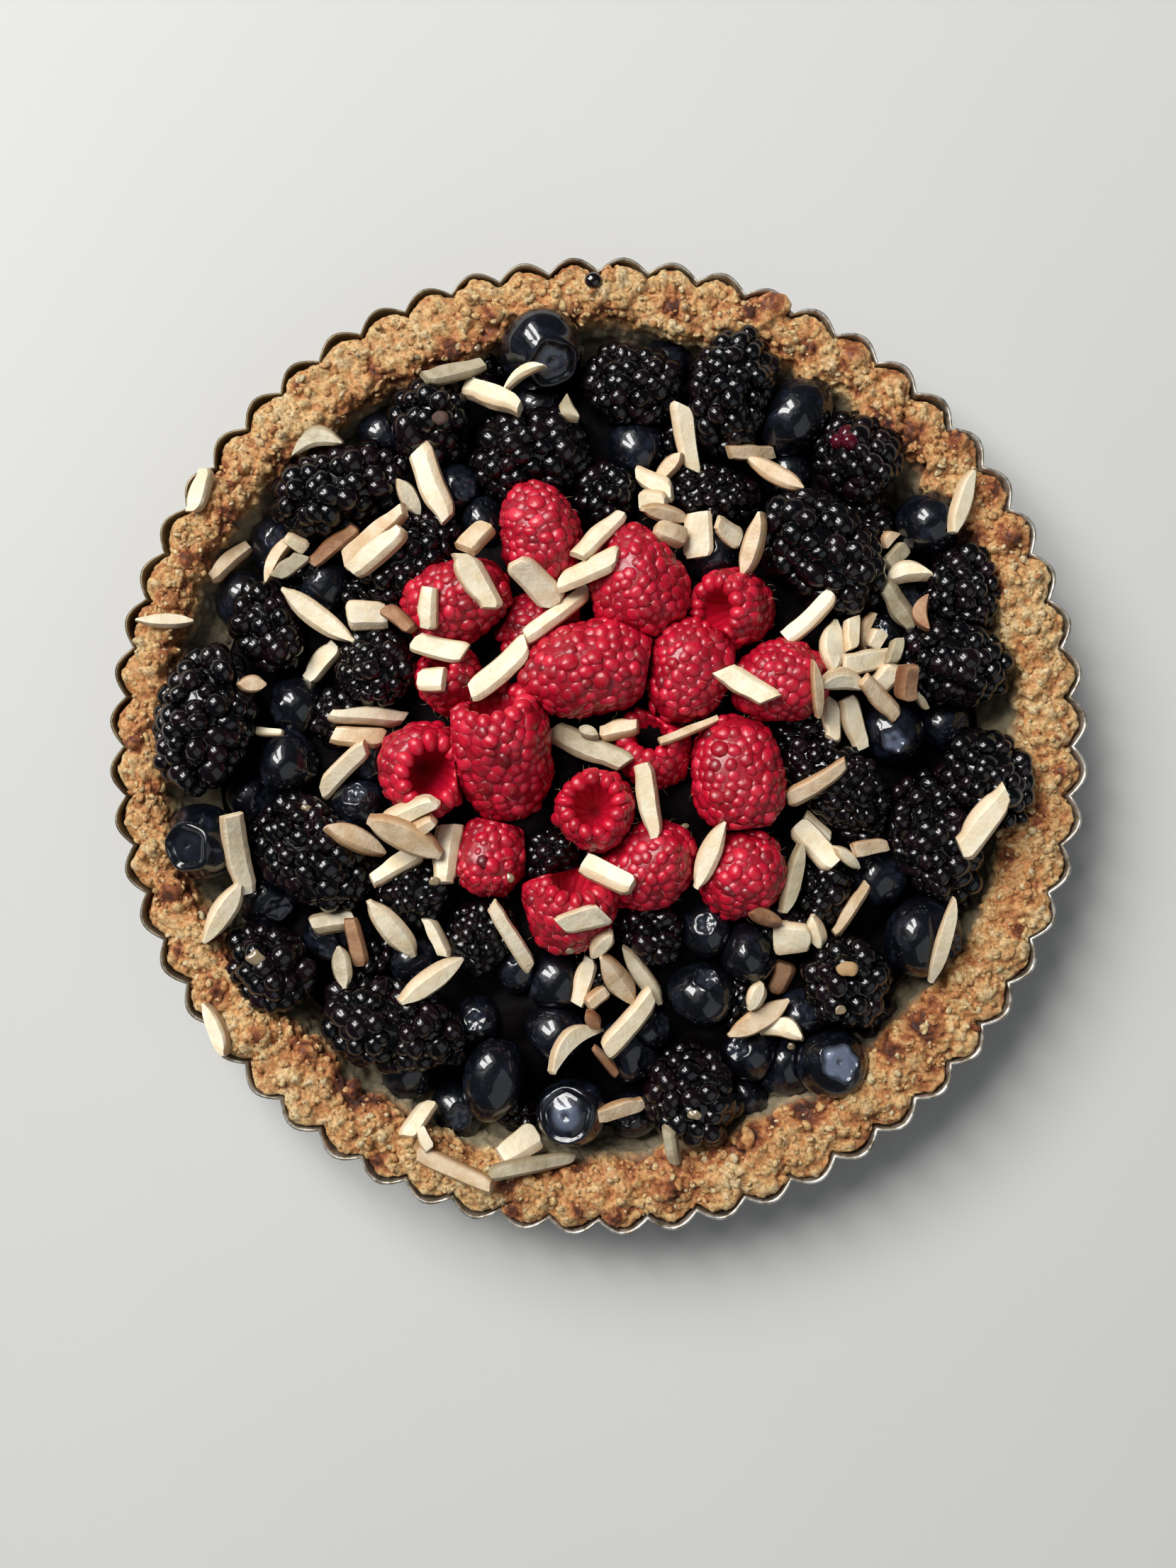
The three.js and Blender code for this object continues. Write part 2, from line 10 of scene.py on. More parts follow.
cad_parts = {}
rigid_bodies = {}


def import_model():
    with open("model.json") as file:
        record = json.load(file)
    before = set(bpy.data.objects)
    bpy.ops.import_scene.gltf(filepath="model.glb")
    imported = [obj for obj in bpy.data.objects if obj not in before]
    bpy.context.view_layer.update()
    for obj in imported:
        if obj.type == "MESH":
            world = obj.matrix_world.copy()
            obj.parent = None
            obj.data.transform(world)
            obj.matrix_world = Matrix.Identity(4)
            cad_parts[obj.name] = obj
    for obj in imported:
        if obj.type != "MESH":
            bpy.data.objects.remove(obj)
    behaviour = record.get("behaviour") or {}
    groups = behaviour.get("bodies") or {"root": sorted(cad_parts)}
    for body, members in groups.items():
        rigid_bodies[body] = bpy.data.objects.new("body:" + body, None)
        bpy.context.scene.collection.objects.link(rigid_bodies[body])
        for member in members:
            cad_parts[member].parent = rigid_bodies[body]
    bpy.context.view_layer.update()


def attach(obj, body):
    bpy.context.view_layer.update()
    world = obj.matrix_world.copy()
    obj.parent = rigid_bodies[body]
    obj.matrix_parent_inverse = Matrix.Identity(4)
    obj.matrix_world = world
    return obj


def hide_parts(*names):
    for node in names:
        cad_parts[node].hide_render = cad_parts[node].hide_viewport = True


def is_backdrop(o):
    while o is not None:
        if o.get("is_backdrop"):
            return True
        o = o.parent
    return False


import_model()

MM = 0.001
TAU = 2 * math.pi

# The tin.
TIN_TOP_RADIUS = 122
TIN_FOOT_RADIUS = 116
TIN_HEIGHT = 27
TIN_WALL = 0.8
FLUTES = 60
FLUTE_DEPTH = 3.4
FLUTED_FROM = 112

# The pastry. Its inner edge wanders: each pair is an angle in degrees and the edge's radius there.
CRUST_TOP = 28
CRUST_INNER = 107.5
OVERHANG = 121.3
CRUST_EDGE = [
    (0, 107.5), (30, 107), (60, 107), (80, 105.5), (100, 107.5), (116, 103.8), (140, 106.2), (168, 109.3),
    (200, 108), (230, 104.2), (250, 106.6), (280, 104.6), (310, 103.4), (340, 106.6),
]
CRUST_COLUMNS = 1400
CRUST_ROWS = 62
# Flakes and crumbs lie on the rim above this height and within this radius.
CRUMBS_ABOVE = 24.5
CRUMBS_WITHIN = 117.5
FLAKE_COUNT = 900
CRUMB_COUNT = 1000
# Toasted lumps on the rim: angle in degrees, radius and size.
TOASTED = [
    (26.9, 114.5, 3.4), (33, 117, 2.4), (40.6, 117.6, 3), (45, 110.7, 3.4), (49.5, 108, 2.4),
    (57, 115.5, 3.6), (62, 112, 2.2), (68.4, 118.2, 4.3), (71, 114, 3), (80.6, 110.7, 2.8),
    (88.8, 117, 2.2), (104, 110, 2.6), (110.6, 105, 3), (121, 109, 2.2), (130, 116, 2), (144, 118.4, 2.6),
    (148, 108.8, 2.6), (155.6, 112.8, 2.6), (168, 110.4, 2.6), (179.4, 115.2, 3), (198.8, 112.3, 3.2),
    (206, 116, 2), (212.5, 113.6, 3), (220, 111, 2.8), (226, 105.6, 3.2), (234.4, 105.4, 3.2),
    (241.9, 117, 2.4), (258, 111, 2.8), (259.4, 117.4, 2.6), (267.5, 115, 2.2), (271.9, 117.2, 2.4),
    (278.8, 111.7, 3), (290.6, 105.8, 3.2), (299.4, 106.4, 2.8), (313.8, 105, 3), (319.4, 107.7, 3),
    (336, 114, 2), (350.6, 110.4, 3), (357, 115, 2.2),
]

# The dark filling, a low dome.
FILLING_RADIUS = 97
FILLING_TOP = 26
FILLING_FALL = 10
FILLING_FALL_RADIUS = 85

# The camera looks straight down from this height over the floor, as the photo does.
CAMERA_CENTRE = (-2.6, -9.4)
CAMERA_HEIGHT = 476
CAMERA_FIELD = math.radians(47)
SENSOR = 36

# Brambles and raspberries: x, y, z, length, width, heading of the tip, lift of the tip, drupelet size.
BRAMBLES = [
    (-64.5, 64, 25, 36, 23, 18, 0, 5.0),
    (-41, 81, 24, 24, 22, 0, -75, 5.2),
    (-17, 73, 24, 30, 25, 5, 0, 4.7),
    (8.5, 90, 24, 27, 21, -12, 0, 4.1),
    (33, 89, 26, 34, 22, 73, 8, 4.5),
    (64.5, 72.5, 24, 24, 22, -45, 60, 4.2),
    (55.5, 48, 27, 38, 26, -45, 0, 5.2),
    (28.5, 63, 23, 25, 17, 0, 0, 3.4),
    (-46.5, 46.5, 25, 30, 20, 40, 0, 3.6),
    (-82.5, 29.5, 24, 24, 18, -57, 0, 4.9),
    (-97.5, 7, 28, 37, 25, 78, 0, 5.0),
    (-55, 19.5, 26, 22, 21, 0, 70, 3.9),
    (-70, -27, 25, 35, 25, -40, 0, 4.5),
    (-46, -36, 25, 21, 19, 30, 60, 3.6),
    (-82, -55.5, 24, 25, 21, -50, 20, 4.9),
    (-51.5, -69.5, 25, 37, 24, -12, 0, 4.8),
    (-29, -47, 25, 21, 18, 60, 30, 3.5),
    (23, -87, 24, 26, 23, -60, 20, 4.8),
    (61.5, -58, 26, 24, 23, 30, -80, 4.8),
    (89, 21, 26, 29, 22, -10, 0, 4.3),
    (91.5, 39, 24, 22, 20, 90, 20, 4.2),
    (96.5, -8, 28, 26, 22, -50, 0, 4.4),
    (84, -23, 25, 34, 23, -65, 0, 4.4),
    (58.5, -8, 26, 36, 20, -42, 0, 3.6),
]
RASPBERRIES = [
    (-14.5, 53, 32, 24, 21, 100, 10, 3.2),
    (-34, 36, 31, 27, 22, 20, 15, 3.3),
    (-14.5, 31, 26, 22, 17, 30, 0, 3.1),
    (9.5, 41, 32, 28, 24, 105, 5, 3.3),
    (-3.5, 18.5, 34, 33, 24.5, 192, 5, 3.4),
    (22, 17.5, 33, 25, 22, 250, 8, 3.2),
    (43.5, 15.5, 32, 23, 21, 190, 5, 3.2),
    (34.5, 34, 29, 20, 20.5, 10, -50, 3.2),
    (-35.5, 15, 28, 18, 17.5, -50, -45, 3.0),
    (-43.5, -5, 29.5, 22, 24, 150, -68, 3.4),
    (-23.5, -4, 30.5, 34, 26, 280, -30, 3.6),
    (-27, -28, 29, 21, 19, 250, 35, 3.1),
    (-0.5, -16, 32, 19, 21, -60, -78, 3.2),
    (14, -2, 27, 20, 20, -70, -55, 3.1),
    (34, -6, 32, 29, 24, 98, 5, 3.3),
    (13.5, -29, 30, 25, 22, 40, 20, 3.2),
    (36, -31, 30, 23, 21, 60, 25, 3.2),
    (-7.5, -41, 30, 22, 24, -100, -35, 3.3),
]
# Blueberries: x, y, z, height through the crown, width, heading of the crown, lift of the crown.
BLUEBERRIES = [
    (-14, 99.5, 25, 19, 20.5, -65, 50),
    (49.5, 83, 23, 22, 16.5, 55, 0),
    (83.5, 56, 23, 16, 17.5, 70, 10),
    (73.5, 4, 23, 16, 17, -110, 70),
    (81, -47.5, 24, 18, 20.5, -20, 35),
    (59, -79, 25, 16, 17.5, 60, 82),
    (-98.5, -24, 27, 18, 19.5, 200, 70),
    (-75.5, 10, 23, 14, 15.5, 200, 40),
    (-77.5, -4, 24, 13.5, 16.5, 0, 20),
    (-60, -14.5, 23, 13, 14.5, 110, 60),
    (-26.5, -83.5, 24, 21, 15.5, 75, 0),
    (-7, -91.5, 25, 16, 18, 160, 78),
    (-11, -72, 24, 14, 16, 40, 10),
    (26, -62, 24, 15, 17, 80, 55),
    (37.5, -52, 25, 14, 15.5, 0, 20),
]
# Blueberries whose crown shows, by row: its size as an angle, and how pale it is.
CROWNS = {0: (0.62, 0.5), 3: (0.36, 0.7), 5: (0.54, 1.0), 6: (0.62, 0.05), 11: (0.86, 0.7)}
# The berries that look out between the others: x, y, width.
SUNKEN_BLUEBERRIES = [
    (-37, -76, 11), (12, -71, 13), (38, -90, 12),
    (-54.5, 80, 14), (-82, 51.5, 15), (-68.5, 40.5, 15), (-90, 37, 16), (18, 98, 15), (-15, 86, 13),
    (9.5, 75, 16), (87.5, 6, 14), (71, -33, 15), (48, -81, 15), (9, -93.5, 13), (27, -46, 14),
    (-10.5, -59, 15), (-48.5, -83.5, 14), (-30.5, -69, 13), (-84, -39, 16), (-68, -48, 14),
    (-28.5, 56.5, 13), (76.5, 36, 14), (71, 28, 13), (27.5, 48.5, 15), (47.5, 69, 13), (-36, 65, 14),
    (51, -67.5, 14), (38.5, -77.5, 15), (7.5, -76, 17), (-88, -13, 14), (-36, -93, 15), (71, 17.5, 14),
    (-46, -54, 14), (71, -69, 13), (-57, -3, 12), (62, 28, 13), (-20, -56, 12), (-62, -46, 12),
]
SUNKEN_BRAMBLES = [
    (52, 1, 18), (55.5, -36.5, 18), (13, -47, 18), (-12, -27, 15), (67, 56, 18), (-56.5, -54, 14),
    (-20.5, -93, 12), (2, 62, 18), (-66, 7, 16), (46, -44, 16), (66, -20, 14), (-1, -58, 14),
    (-75, 44, 13), (-58, 36, 15), (20, 75, 14), (-29, 96, 13), (88, -38, 13), (35, -64, 14),
]
# Almond slivers as seen from above: x, y, length, width, heading, tone (cream, tan, brown or grey), and
# the shape where it is plain to see.
ALMONDS = [
    (-98.9, 63.2, 10.8, 5, 71, "c"), (-70, 75.3, 13, 5.2, 11, "g"), (-93, 46.8, 12.2, 4.5, 46, "t"),
    (-79.6, 47.4, 14, 4, 55, "t"), (-75, 50.4, 5, 3.5, -30, "c"), (-76.8, 44.7, 8.5, 4.5, 40, "g"),
    (-65.8, 50, 14, 4, 38, "b"), (-55.2, 52, 19, 5.5, 36, "t"), (-54.4, 47.7, 16, 6, 37, "c"),
    (-47, 61.6, 9.5, 5, 120, "c"), (-41, 64.5, 19, 6.5, 112, "c"),
    (-107.5, 31.1, 13.6, 3.8, 0, "c", "pointed"), (-69.5, 32.2, 22, 6, 144, "c", "pointed"),
    (-69.6, 21.3, 11.5, 5.5, 50, "c"), (-57.3, 32.2, 9.5, 7, 0, "c"), (-48.6, 30.9, 8.8, 4, 140, "b"),
    (-85.3, 15.2, 6, 4.5, 0, "t", "pointed"), (-81.8, 3.6, 7.5, 2.2, -5, "c"),
    (-57.2, 7.5, 17.7, 4.5, -3, "c"), (-59.5, 2.3, 12.5, 5, -5, "t", "plank"),
    (-63.2, -5.4, 16, 5, 42, "c", "plank"), (-88.8, -26.5, 19.5, 6, 95, "c"),
    (-93.3, -41.3, 17, 6, 58, "c", "pointed"), (-59.5, -23.2, 15, 5.5, 152, "t"),
    (-45.2, -15.9, 13, 5, 25, "c"), (-50, -29.5, 13, 5, 33, "c"), (-37.5, -26.5, 14, 6.5, 85, "c"),
    (-42.5, -19.5, 6, 4, 30, "t"), (-46.9, -22.1, 19, 7, 153, "t", "pointed"),
    (-29.6, 39.3, 14.5, 7, 118, "c"), (-41.1, 33, 9.8, 4.7, 85, "c"), (-38.9, 23.7, 13, 5.5, 166, "c"),
    (-40.6, 15.9, 6.3, 6, 0, "c"), (-24, 18.5, 18.2, 6, 41, "c"), (-10.2, 32.3, 19.4, 4.5, 38, "c"),
    (-15.3, 39.7, 13, 7, 135, "c"), (-2.8, 42.2, 15.3, 5.5, 22, "c"), (0.2, 51.3, 15.5, 5, 47, "c"),
    (-29.6, 50.1, 8, 5.5, 50, "t"), (35.6, 14.4, 13.4, 6, 147, "c"), (-2.4, -0.5, 20, 6.5, 155, "g"),
    (5, 4, 9, 4.5, 10, "t"), (-2.4, 3.2, 5, 3, -20, "g"), (21.8, 3.6, 15.4, 2.5, 22, "t"),
    (12, -13.5, 18.3, 5, 100, "c"), (27.1, -26.5, 17.6, 5.5, 67, "c"), (2.4, -31.5, 12.7, 5.5, 155, "c"),
    (-4, -41.9, 11, 6, 15, "c"), (0.6, -48.3, 7.5, 4.5, 50, "c"), (-21.4, -47, 18, 4, 120, "c"),
    (-36, 92.5, 14.5, 5, 20, "g"), (-26.3, 86.1, 15.5, 5.5, 155, "c"), (-18.4, 90.7, 11.3, 3, 27, "c"),
    (-7.3, 83.4, 7, 4, 115, "g"), (21.7, 76.3, 16, 5.3, 100, "c"), (17.2, 69, 9, 4.5, 45, "t"),
    (13.8, 65.2, 10, 5, 150, "c"), (13.6, 60.6, 6.3, 4.8, -10, "c"), (16.6, 57, 12, 4.5, 170, "t"),
    (24.6, 52.1, 11, 7, 90, "c"), (17.5, 51.6, 7.5, 5, 165, "t"), (32, 53.1, 7, 5.5, 145, "c"),
    (37.4, 49, 15.5, 5, 75, "t"), (38, 73, 11.2, 4, 5, "t"), (43.5, 67.2, 16, 5, 148, "t"),
    (90, 60.3, 16.5, 5, 72, "c"), (74.6, 47.6, 7, 4.5, 45, "g"), (77, 42.5, 11.5, 5, 8, "c"),
    (73.1, 52, 5, 3, 50, "t"), (74.6, 34.7, 12, 5.5, 128, "g"), (80.4, 32.7, 9, 3.8, 85, "b"),
    (51.8, 31.5, 15.7, 4.5, 44, "c"), (57.5, 24.3, 12.5, 7, 85, "c"), (62.2, 27.5, 8, 4, 85, "c"),
    (66.5, 28.4, 10, 3, 75, "t"), (68.7, 26.5, 5, 4, 60, "c"), (66, 21, 12.5, 5.5, 12, "c"),
    (73, 23.2, 6.5, 4, 70, "g"), (70.1, 16.4, 8, 5.5, 50, "c"), (59.7, 15.4, 12.5, 5.3, -2, "c"),
    (69, 11.7, 12.5, 5, 135, "t"), (57.1, 6.8, 10, 5.3, 88, "c"), (63.3, 5.6, 13.2, 5.5, 108, "c"),
    (52.6, 13.4, 13.5, 3, 98, "t"), (75.7, 15.5, 8, 5, 90, "b"), (79.6, 11.2, 5, 2, -48, "g"),
    (53.2, -9.2, 15.8, 4.8, 33, "t"), (93.5, -18.3, 17.5, 7.5, 52, "c"), (54.5, -20.5, 8.5, 4, 140, "c"),
    (53.7, -24.5, 13.5, 6, 132, "c"), (61.4, -27.5, 8, 3.5, 140, "c"), (67.1, -25.1, 8.5, 4, 8, "t"),
    (47.7, -32.7, 17.5, 4, 75, "g", "pointed"), (62.7, -40.4, 14.8, 3.5, 54, "t"),
    (84.5, -48, 21.5, 4, 78, "c", "pointed"), (53.7, -45.8, 8, 5, 105, "c", "pointed"),
    (47.7, -47.3, 9, 8, 0, "c"), (40.8, -42, 8, 4, -20, "b"), (45.8, -58.1, 8, 5.5, 70, "b"),
    (45.9, -71.1, 10, 5, -5, "c"), (40, -67.8, 17.5, 6, 30, "t", "pointed"),
    (38.9, -61.9, 7.5, 5, 65, "c", "pointed"), (-3.8, -58.1, 12, 4.8, 75, "c"),
    (-0.4, -62.2, 5.5, 4, 35, "t"), (4.5, -57.3, 14.5, 6, 125, "t"), (10.7, -56.7, 17.5, 4.5, 123, "c"),
    (7.6, -68.7, 18.5, 6, 50, "c"), (-6.1, -73.7, 15.5, 5, 38, "c"), (-1.4, -67.4, 5, 3, -50, "b"),
    (1.6, -77.7, 9, 2.5, 128, "b"), (5.3, -90.3, 11.5, 4.5, 12, "t"), (-19.6, -99.5, 10, 7, 30, "c"),
    (-16.2, -103.8, 20, 4, 5, "g"), (-35.2, -104.5, 19.5, 5, 160, "t"), (18, -99, 9, 3.5, 100, "g"),
    (-41, -57.5, 18, 6, 35, "c"), (-40.3, -47.1, 10, 4, 115, "c"),
    (-50.8, -45.2, 17.2, 6.5, 126, "c", "pointed"), (-66, -43.8, 11, 5, 10, "g", "plank"),
    (-60.2, -48.7, 12, 4.3, 100, "b"), (-63.5, -54.8, 10.5, 5, 100, "g"),
    (-94.9, -70.1, 13.8, 4.5, 112, "c"), (-44.9, -92.9, 9.5, 5, 55, "c"), (-43, -97, 5.5, 3, 115, "c"),
]
ALMOND_THICKNESS = 3.1
ALMOND_CEILING = 48.3
ALMOND_SINK = 0.5
ALMOND_TONES = {"c": "cream", "t": "tan", "b": "brown", "g": "grey"}
# Small things lying on top: x, y, size, flatness and material.
BITS = [
    (-1.3, 115.3, 4.4, 0.7, "juice"), (-30.3, 99.4, 2.4, 0.6, "jelly"), (-45, 96.3, 2, 0.6, "jelly"),
    (-21.7, -32.4, 2.4, 0.6, "jelly"), (21.4, -20, 2.2, 0.6, "jelly"), (-6.9, -50, 2.2, 0.6, "jelly"),
    (-84, -52, 4.2, 0.35, "jelly"), (59.2, -64.7, 3, 0.35, "jelly"), (23.5, -90.3, 3.2, 0.35, "jelly"),
    (48.6, -75.4, 2.4, 0.35, "jelly"), (-72, -15.5, 2.6, 0.35, "jelly"), (-40, -33, 2.4, 0.5, "jelly"),
    (60.4, -54.3, 4.8, 0.35, "core"), (-38.9, 80.1, 4.4, 0.4, "pit"),
]
# The drupelets at this place have stayed red.
RED_DRUPELET = (60, 75.7)


# Numbers

def hashed(cells, seed):
    """A fixed pseudo-random number from 0 to 1 for each row of whole numbers."""
    whole = cells.astype(np.int64)
    mixed = whole[:, 0] * 374761393 + whole[:, 1] * 668265263 + whole[:, 2] * 1440662683 + seed * 97531
    mixed = (mixed ^ (mixed >> 13)) * 1274126177 & 0xFFFFFFFF
    mixed = (mixed ^ (mixed >> 16)) * 2246822519 & 0xFFFFFFFF
    return (mixed ^ (mixed >> 15)) / 0xFFFFFFFF


def noise(points, size, seed=0):
    """Smooth noise from -1 to 1 with bumps about size wide."""
    scaled = points / size
    low = np.floor(scaled)
    part = scaled - low
    part = part * part * (3 - 2 * part)
    total = np.zeros(len(points))
    for corner in range(8):
        step = np.array([corner & 1, (corner >> 1) & 1, (corner >> 2) & 1])
        weight = np.prod(np.where(step, part, 1 - part), axis=1)
        total += weight * hashed(low + step, seed)
    return 2 * total - 1


def grains(points, size, seed=0):
    """Distance to the nearest of scattered grains about size apart, in sizes, and each one's number."""
    scaled = points / size
    low = np.floor(scaled)
    nearest = np.full(len(points), 9.0)
    number = np.zeros(len(points))
    for corner in np.ndindex(3, 3, 3):
        cell = low + np.array(corner) - 1
        middle = cell + np.stack([hashed(cell, seed + k) for k in (1, 2, 3)], axis=1)
        distance = np.linalg.norm(scaled - middle, axis=1)
        closer = distance < nearest
        nearest[closer] = distance[closer]
        number[closer] = hashed(cell, seed + 4)[closer]
    return nearest, number


def wobble(points, size, seeds):
    """Smooth noise of its own along each axis."""
    return np.stack([noise(points, size, seed) for seed in seeds], axis=1)


def unit(vectors):
    return vectors / np.linalg.norm(vectors, axis=-1, keepdims=True)


def evenly(count):
    """Angles spread evenly over one turn."""
    return np.arange(count) / count * TAU


def about_z(radius, angle, height):
    """Points at these radii, angles and heights about +Z."""
    return np.stack(np.broadcast_arrays(radius * np.cos(angle), radius * np.sin(angle), height), axis=-1)


def berry_turn(turn, lift):
    """The rotation that lays a form made along +Z with its tip at this heading and lift."""
    turn, lift = math.radians(turn), math.radians(lift)
    return np.array([
        [math.sin(lift) * math.cos(turn), -math.sin(turn), math.cos(lift) * math.cos(turn)],
        [math.sin(lift) * math.sin(turn), math.cos(turn), math.cos(lift) * math.sin(turn)],
        [-math.cos(lift), 0, math.sin(lift)],
    ])


def seated(berry, points):
    """Moves points from a berry's own frame into the tart's."""
    return points @ berry_turn(berry[5], berry[6]).T + np.array(berry[:3])


def frames_about(normals):
    """An upright set of axes for each normal, as matrices whose last column is the normal."""
    helper = np.where(np.abs(normals[:, 2:3]) > 0.9, [[1.0, 0, 0]], [[0, 0, 1.0]])
    side = unit(np.cross(helper, normals))
    return np.stack([side, np.cross(normals, side), normals], axis=2)


# Meshes: each chunk is its points, its faces of four corners (a triangle repeats one) and a tone.

def grid_faces(rows, columns):
    """Faces between rings of points that lie one after another."""
    r, c = np.meshgrid(np.arange(rows - 1), np.arange(columns), indexing="ij")
    after = (c + 1) % columns
    quads = [r * columns + c, r * columns + after, (r + 1) * columns + after, (r + 1) * columns + c]
    return np.stack(quads).reshape(4, -1).T


def turned(radii, heights, columns):
    """A closed turned form about +Z from its bottom to its top, with a point at both ends."""
    rings = about_z(radii[:, None], evenly(columns), heights[:, None])
    return rings.reshape(-1, 3), grid_faces(len(radii), columns)


def dome_template(columns, rings, spread):
    """A cap of a ball with its pole at +Z, going down to an angle of spread degrees from the pole."""
    angles = np.radians(spread) * np.arange(1, rings + 1)[:, None] / rings
    points = about_z(np.sin(angles), evenly(columns), np.cos(angles)).reshape(-1, 3)
    fan = [[0, 1 + k, 1 + (k + 1) % columns, 0] for k in range(columns)]
    return np.vstack([[0, 0, 1], points]), np.vstack([fan, grid_faces(rings, columns)[:, ::-1] + 1])


def stamp(template, centres, frames, sizes):
    """Copies of a template at many places, each with its own axes and three sizes."""
    points, faces = template
    placed = np.einsum("nij,nvj->nvi", frames, points[None] * sizes[:, None, :]) + centres[:, None, :]
    shifted = faces[None] + (np.arange(len(centres)) * len(points))[:, None, None]
    return placed.reshape(-1, 3), shifted.reshape(-1, 4)


def ball(detail):
    mesh = bmesh.new()
    bmesh.ops.create_icosphere(mesh, subdivisions=detail, radius=1)
    points = np.array([v.co[:] for v in mesh.verts])
    faces = np.array([[v.index for v in f.verts] for f in mesh.faces])
    mesh.free()
    return points, np.column_stack([faces, faces[:, 0]])


def piece(name, chunks, material, slot, *nodes):
    """Makes one object from chunks, riding on the tart, and stands it for its CAD nodes."""
    points = np.vstack([points for points, _, _ in chunks]) * MM
    starts = np.cumsum([0] + [len(points) for points, _, _ in chunks])
    corners = np.vstack([faces + start for (_, faces, _), start in zip(chunks, starts)])
    tones = np.concatenate([np.broadcast_to(tone, len(points)) for points, _, tone in chunks])
    triangle = corners[:, 0] == corners[:, 3]
    mesh = bpy.data.meshes.new(name)
    mesh.from_pydata(points.tolist(), [], corners[triangle][:, :3].tolist() + corners[~triangle].tolist())
    mesh.polygons.foreach_set("use_smooth", [True] * len(mesh.polygons))
    tone_layer = mesh.attributes.new("tone", "FLOAT", "POINT")
    tone_layer.data.foreach_set("value", tones.astype(np.float32))
    mesh.materials.append(material)
    made = bpy.data.objects.new(name, mesh)
    bpy.context.scene.collection.objects.link(made)
    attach(made, "root")
    if nodes:
        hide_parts(*nodes)
    return made


# Materials

class Shader:
    """A Principled material with short calls for the nodes that it uses."""

    def __init__(self, name, **settings):
        self.material = bpy.data.materials.new(name)
        self.material.use_nodes = True
        self.tree = self.material.node_tree
        self.surface = self.tree.nodes["Principled BSDF"]
        self.place = self.add("ShaderNodeTexCoord").outputs["Object"]
        self.set(**settings)

    def add(self, kind, **inputs):
        node = self.tree.nodes.new(kind)
        for socket, value in inputs.items():
            self.feed(node.inputs[socket.replace("_", " ")], value)
        return node

    def feed(self, socket, value):
        if isinstance(value, bpy.types.NodeSocket):
            self.tree.links.new(value, socket)
        else:
            socket.default_value = value

    def tone(self):
        node = self.add("ShaderNodeAttribute")
        node.attribute_name = "tone"
        return node.outputs["Fac"]

    def noise(self, scale, detail=4, roughness=0.55, distortion=0.0):
        node = self.add("ShaderNodeTexNoise", Vector=self.place, Scale=scale, Detail=detail,
                        Roughness=roughness, Distortion=distortion)
        return node.outputs["Fac"]

    def cells(self, scale):
        node = self.add("ShaderNodeTexVoronoi", Vector=self.place, Scale=scale)
        return node.outputs["Distance"]

    def ramp(self, factor, *stops):
        """A colour ramp: each stop is its position and a display colour."""
        node = self.add("ShaderNodeValToRGB", Fac=factor)
        band = node.color_ramp
        while len(band.elements) < len(stops):
            band.elements.new(0.5)
        for element, (position, *colour) in zip(band.elements, stops):
            element.position = position
            element.color = srgb(*colour)
        return node.outputs["Color"]

    def mask(self, factor, low, high):
        return self.ramp(factor, (low, 0, 0, 0), (high, 255, 255, 255))

    def mix(self, factor, low, high, blend="MIX"):
        node = self.add("ShaderNodeMix")
        node.data_type = "RGBA"
        node.blend_type = blend
        for socket, value in (("Factor", factor), ("A", low), ("B", high)):
            self.feed(node.inputs[socket], value)
        return node.outputs["Result"]

    def span(self, factor, low, high, start=0.0, end=1.0):
        node = self.add("ShaderNodeMapRange", Value=factor, From_Min=start, From_Max=end,
                        To_Min=low, To_Max=high)
        return node.outputs["Result"]

    def height(self):
        return self.add("ShaderNodeSeparateXYZ", Vector=self.place).outputs["Z"]

    def bump(self, *heights):
        normal = None
        for height, distance in heights:
            node = self.add("ShaderNodeBump", Height=height, Distance=distance)
            if normal:
                self.feed(node.inputs["Normal"], normal)
            normal = node.outputs["Normal"]
        self.set(Normal=normal)

    def set(self, **inputs):
        for socket, value in inputs.items():
            self.feed(self.surface.inputs[socket.replace("_", " ")], value)
        return self.material


def srgb(*display):
    """The linear colour, with alpha, of a display colour given from 0 to 255."""
    return (*(c / 255 / 12.92 if c < 11 else ((c / 255 + 0.055) / 1.055) ** 2.4 for c in display), 1)


def tin_material():
    tin = Shader("aged_tin", Metallic=0.85)
    patina = tin.noise(70, detail=9, roughness=0.8)
    colour = tin.ramp(patina, (0.34, 92, 78, 58), (0.5, 146, 136, 118), (0.64, 196, 191, 181))
    worn = tin.mix(tin.mask(tin.noise(420), 0.4, 0.6), colour, srgb(214, 211, 203))
    colour = tin.mix(tin.span(tin.height(), 0.0, 1.0, 0.0235, 0.0262), colour, worn)
    # Painted shade: a darker brown where the tone is high, on the tin's upper-left side, whose inner face
    # turns away from the window lights.
    brown = tin.ramp(patina, (0.34, 62, 48, 32), (0.5, 104, 90, 66), (0.64, 146, 134, 110))
    colour = tin.mix(tin.mask(tin.tone(), 0.45, 0.9), colour, brown)
    rough = tin.span(tin.noise(300, detail=5), 0.28, 0.6)
    tin.bump((tin.noise(900, detail=3), 0.0001), (patina, 0.00012))
    return tin.set(Base_Color=colour, Roughness=rough)


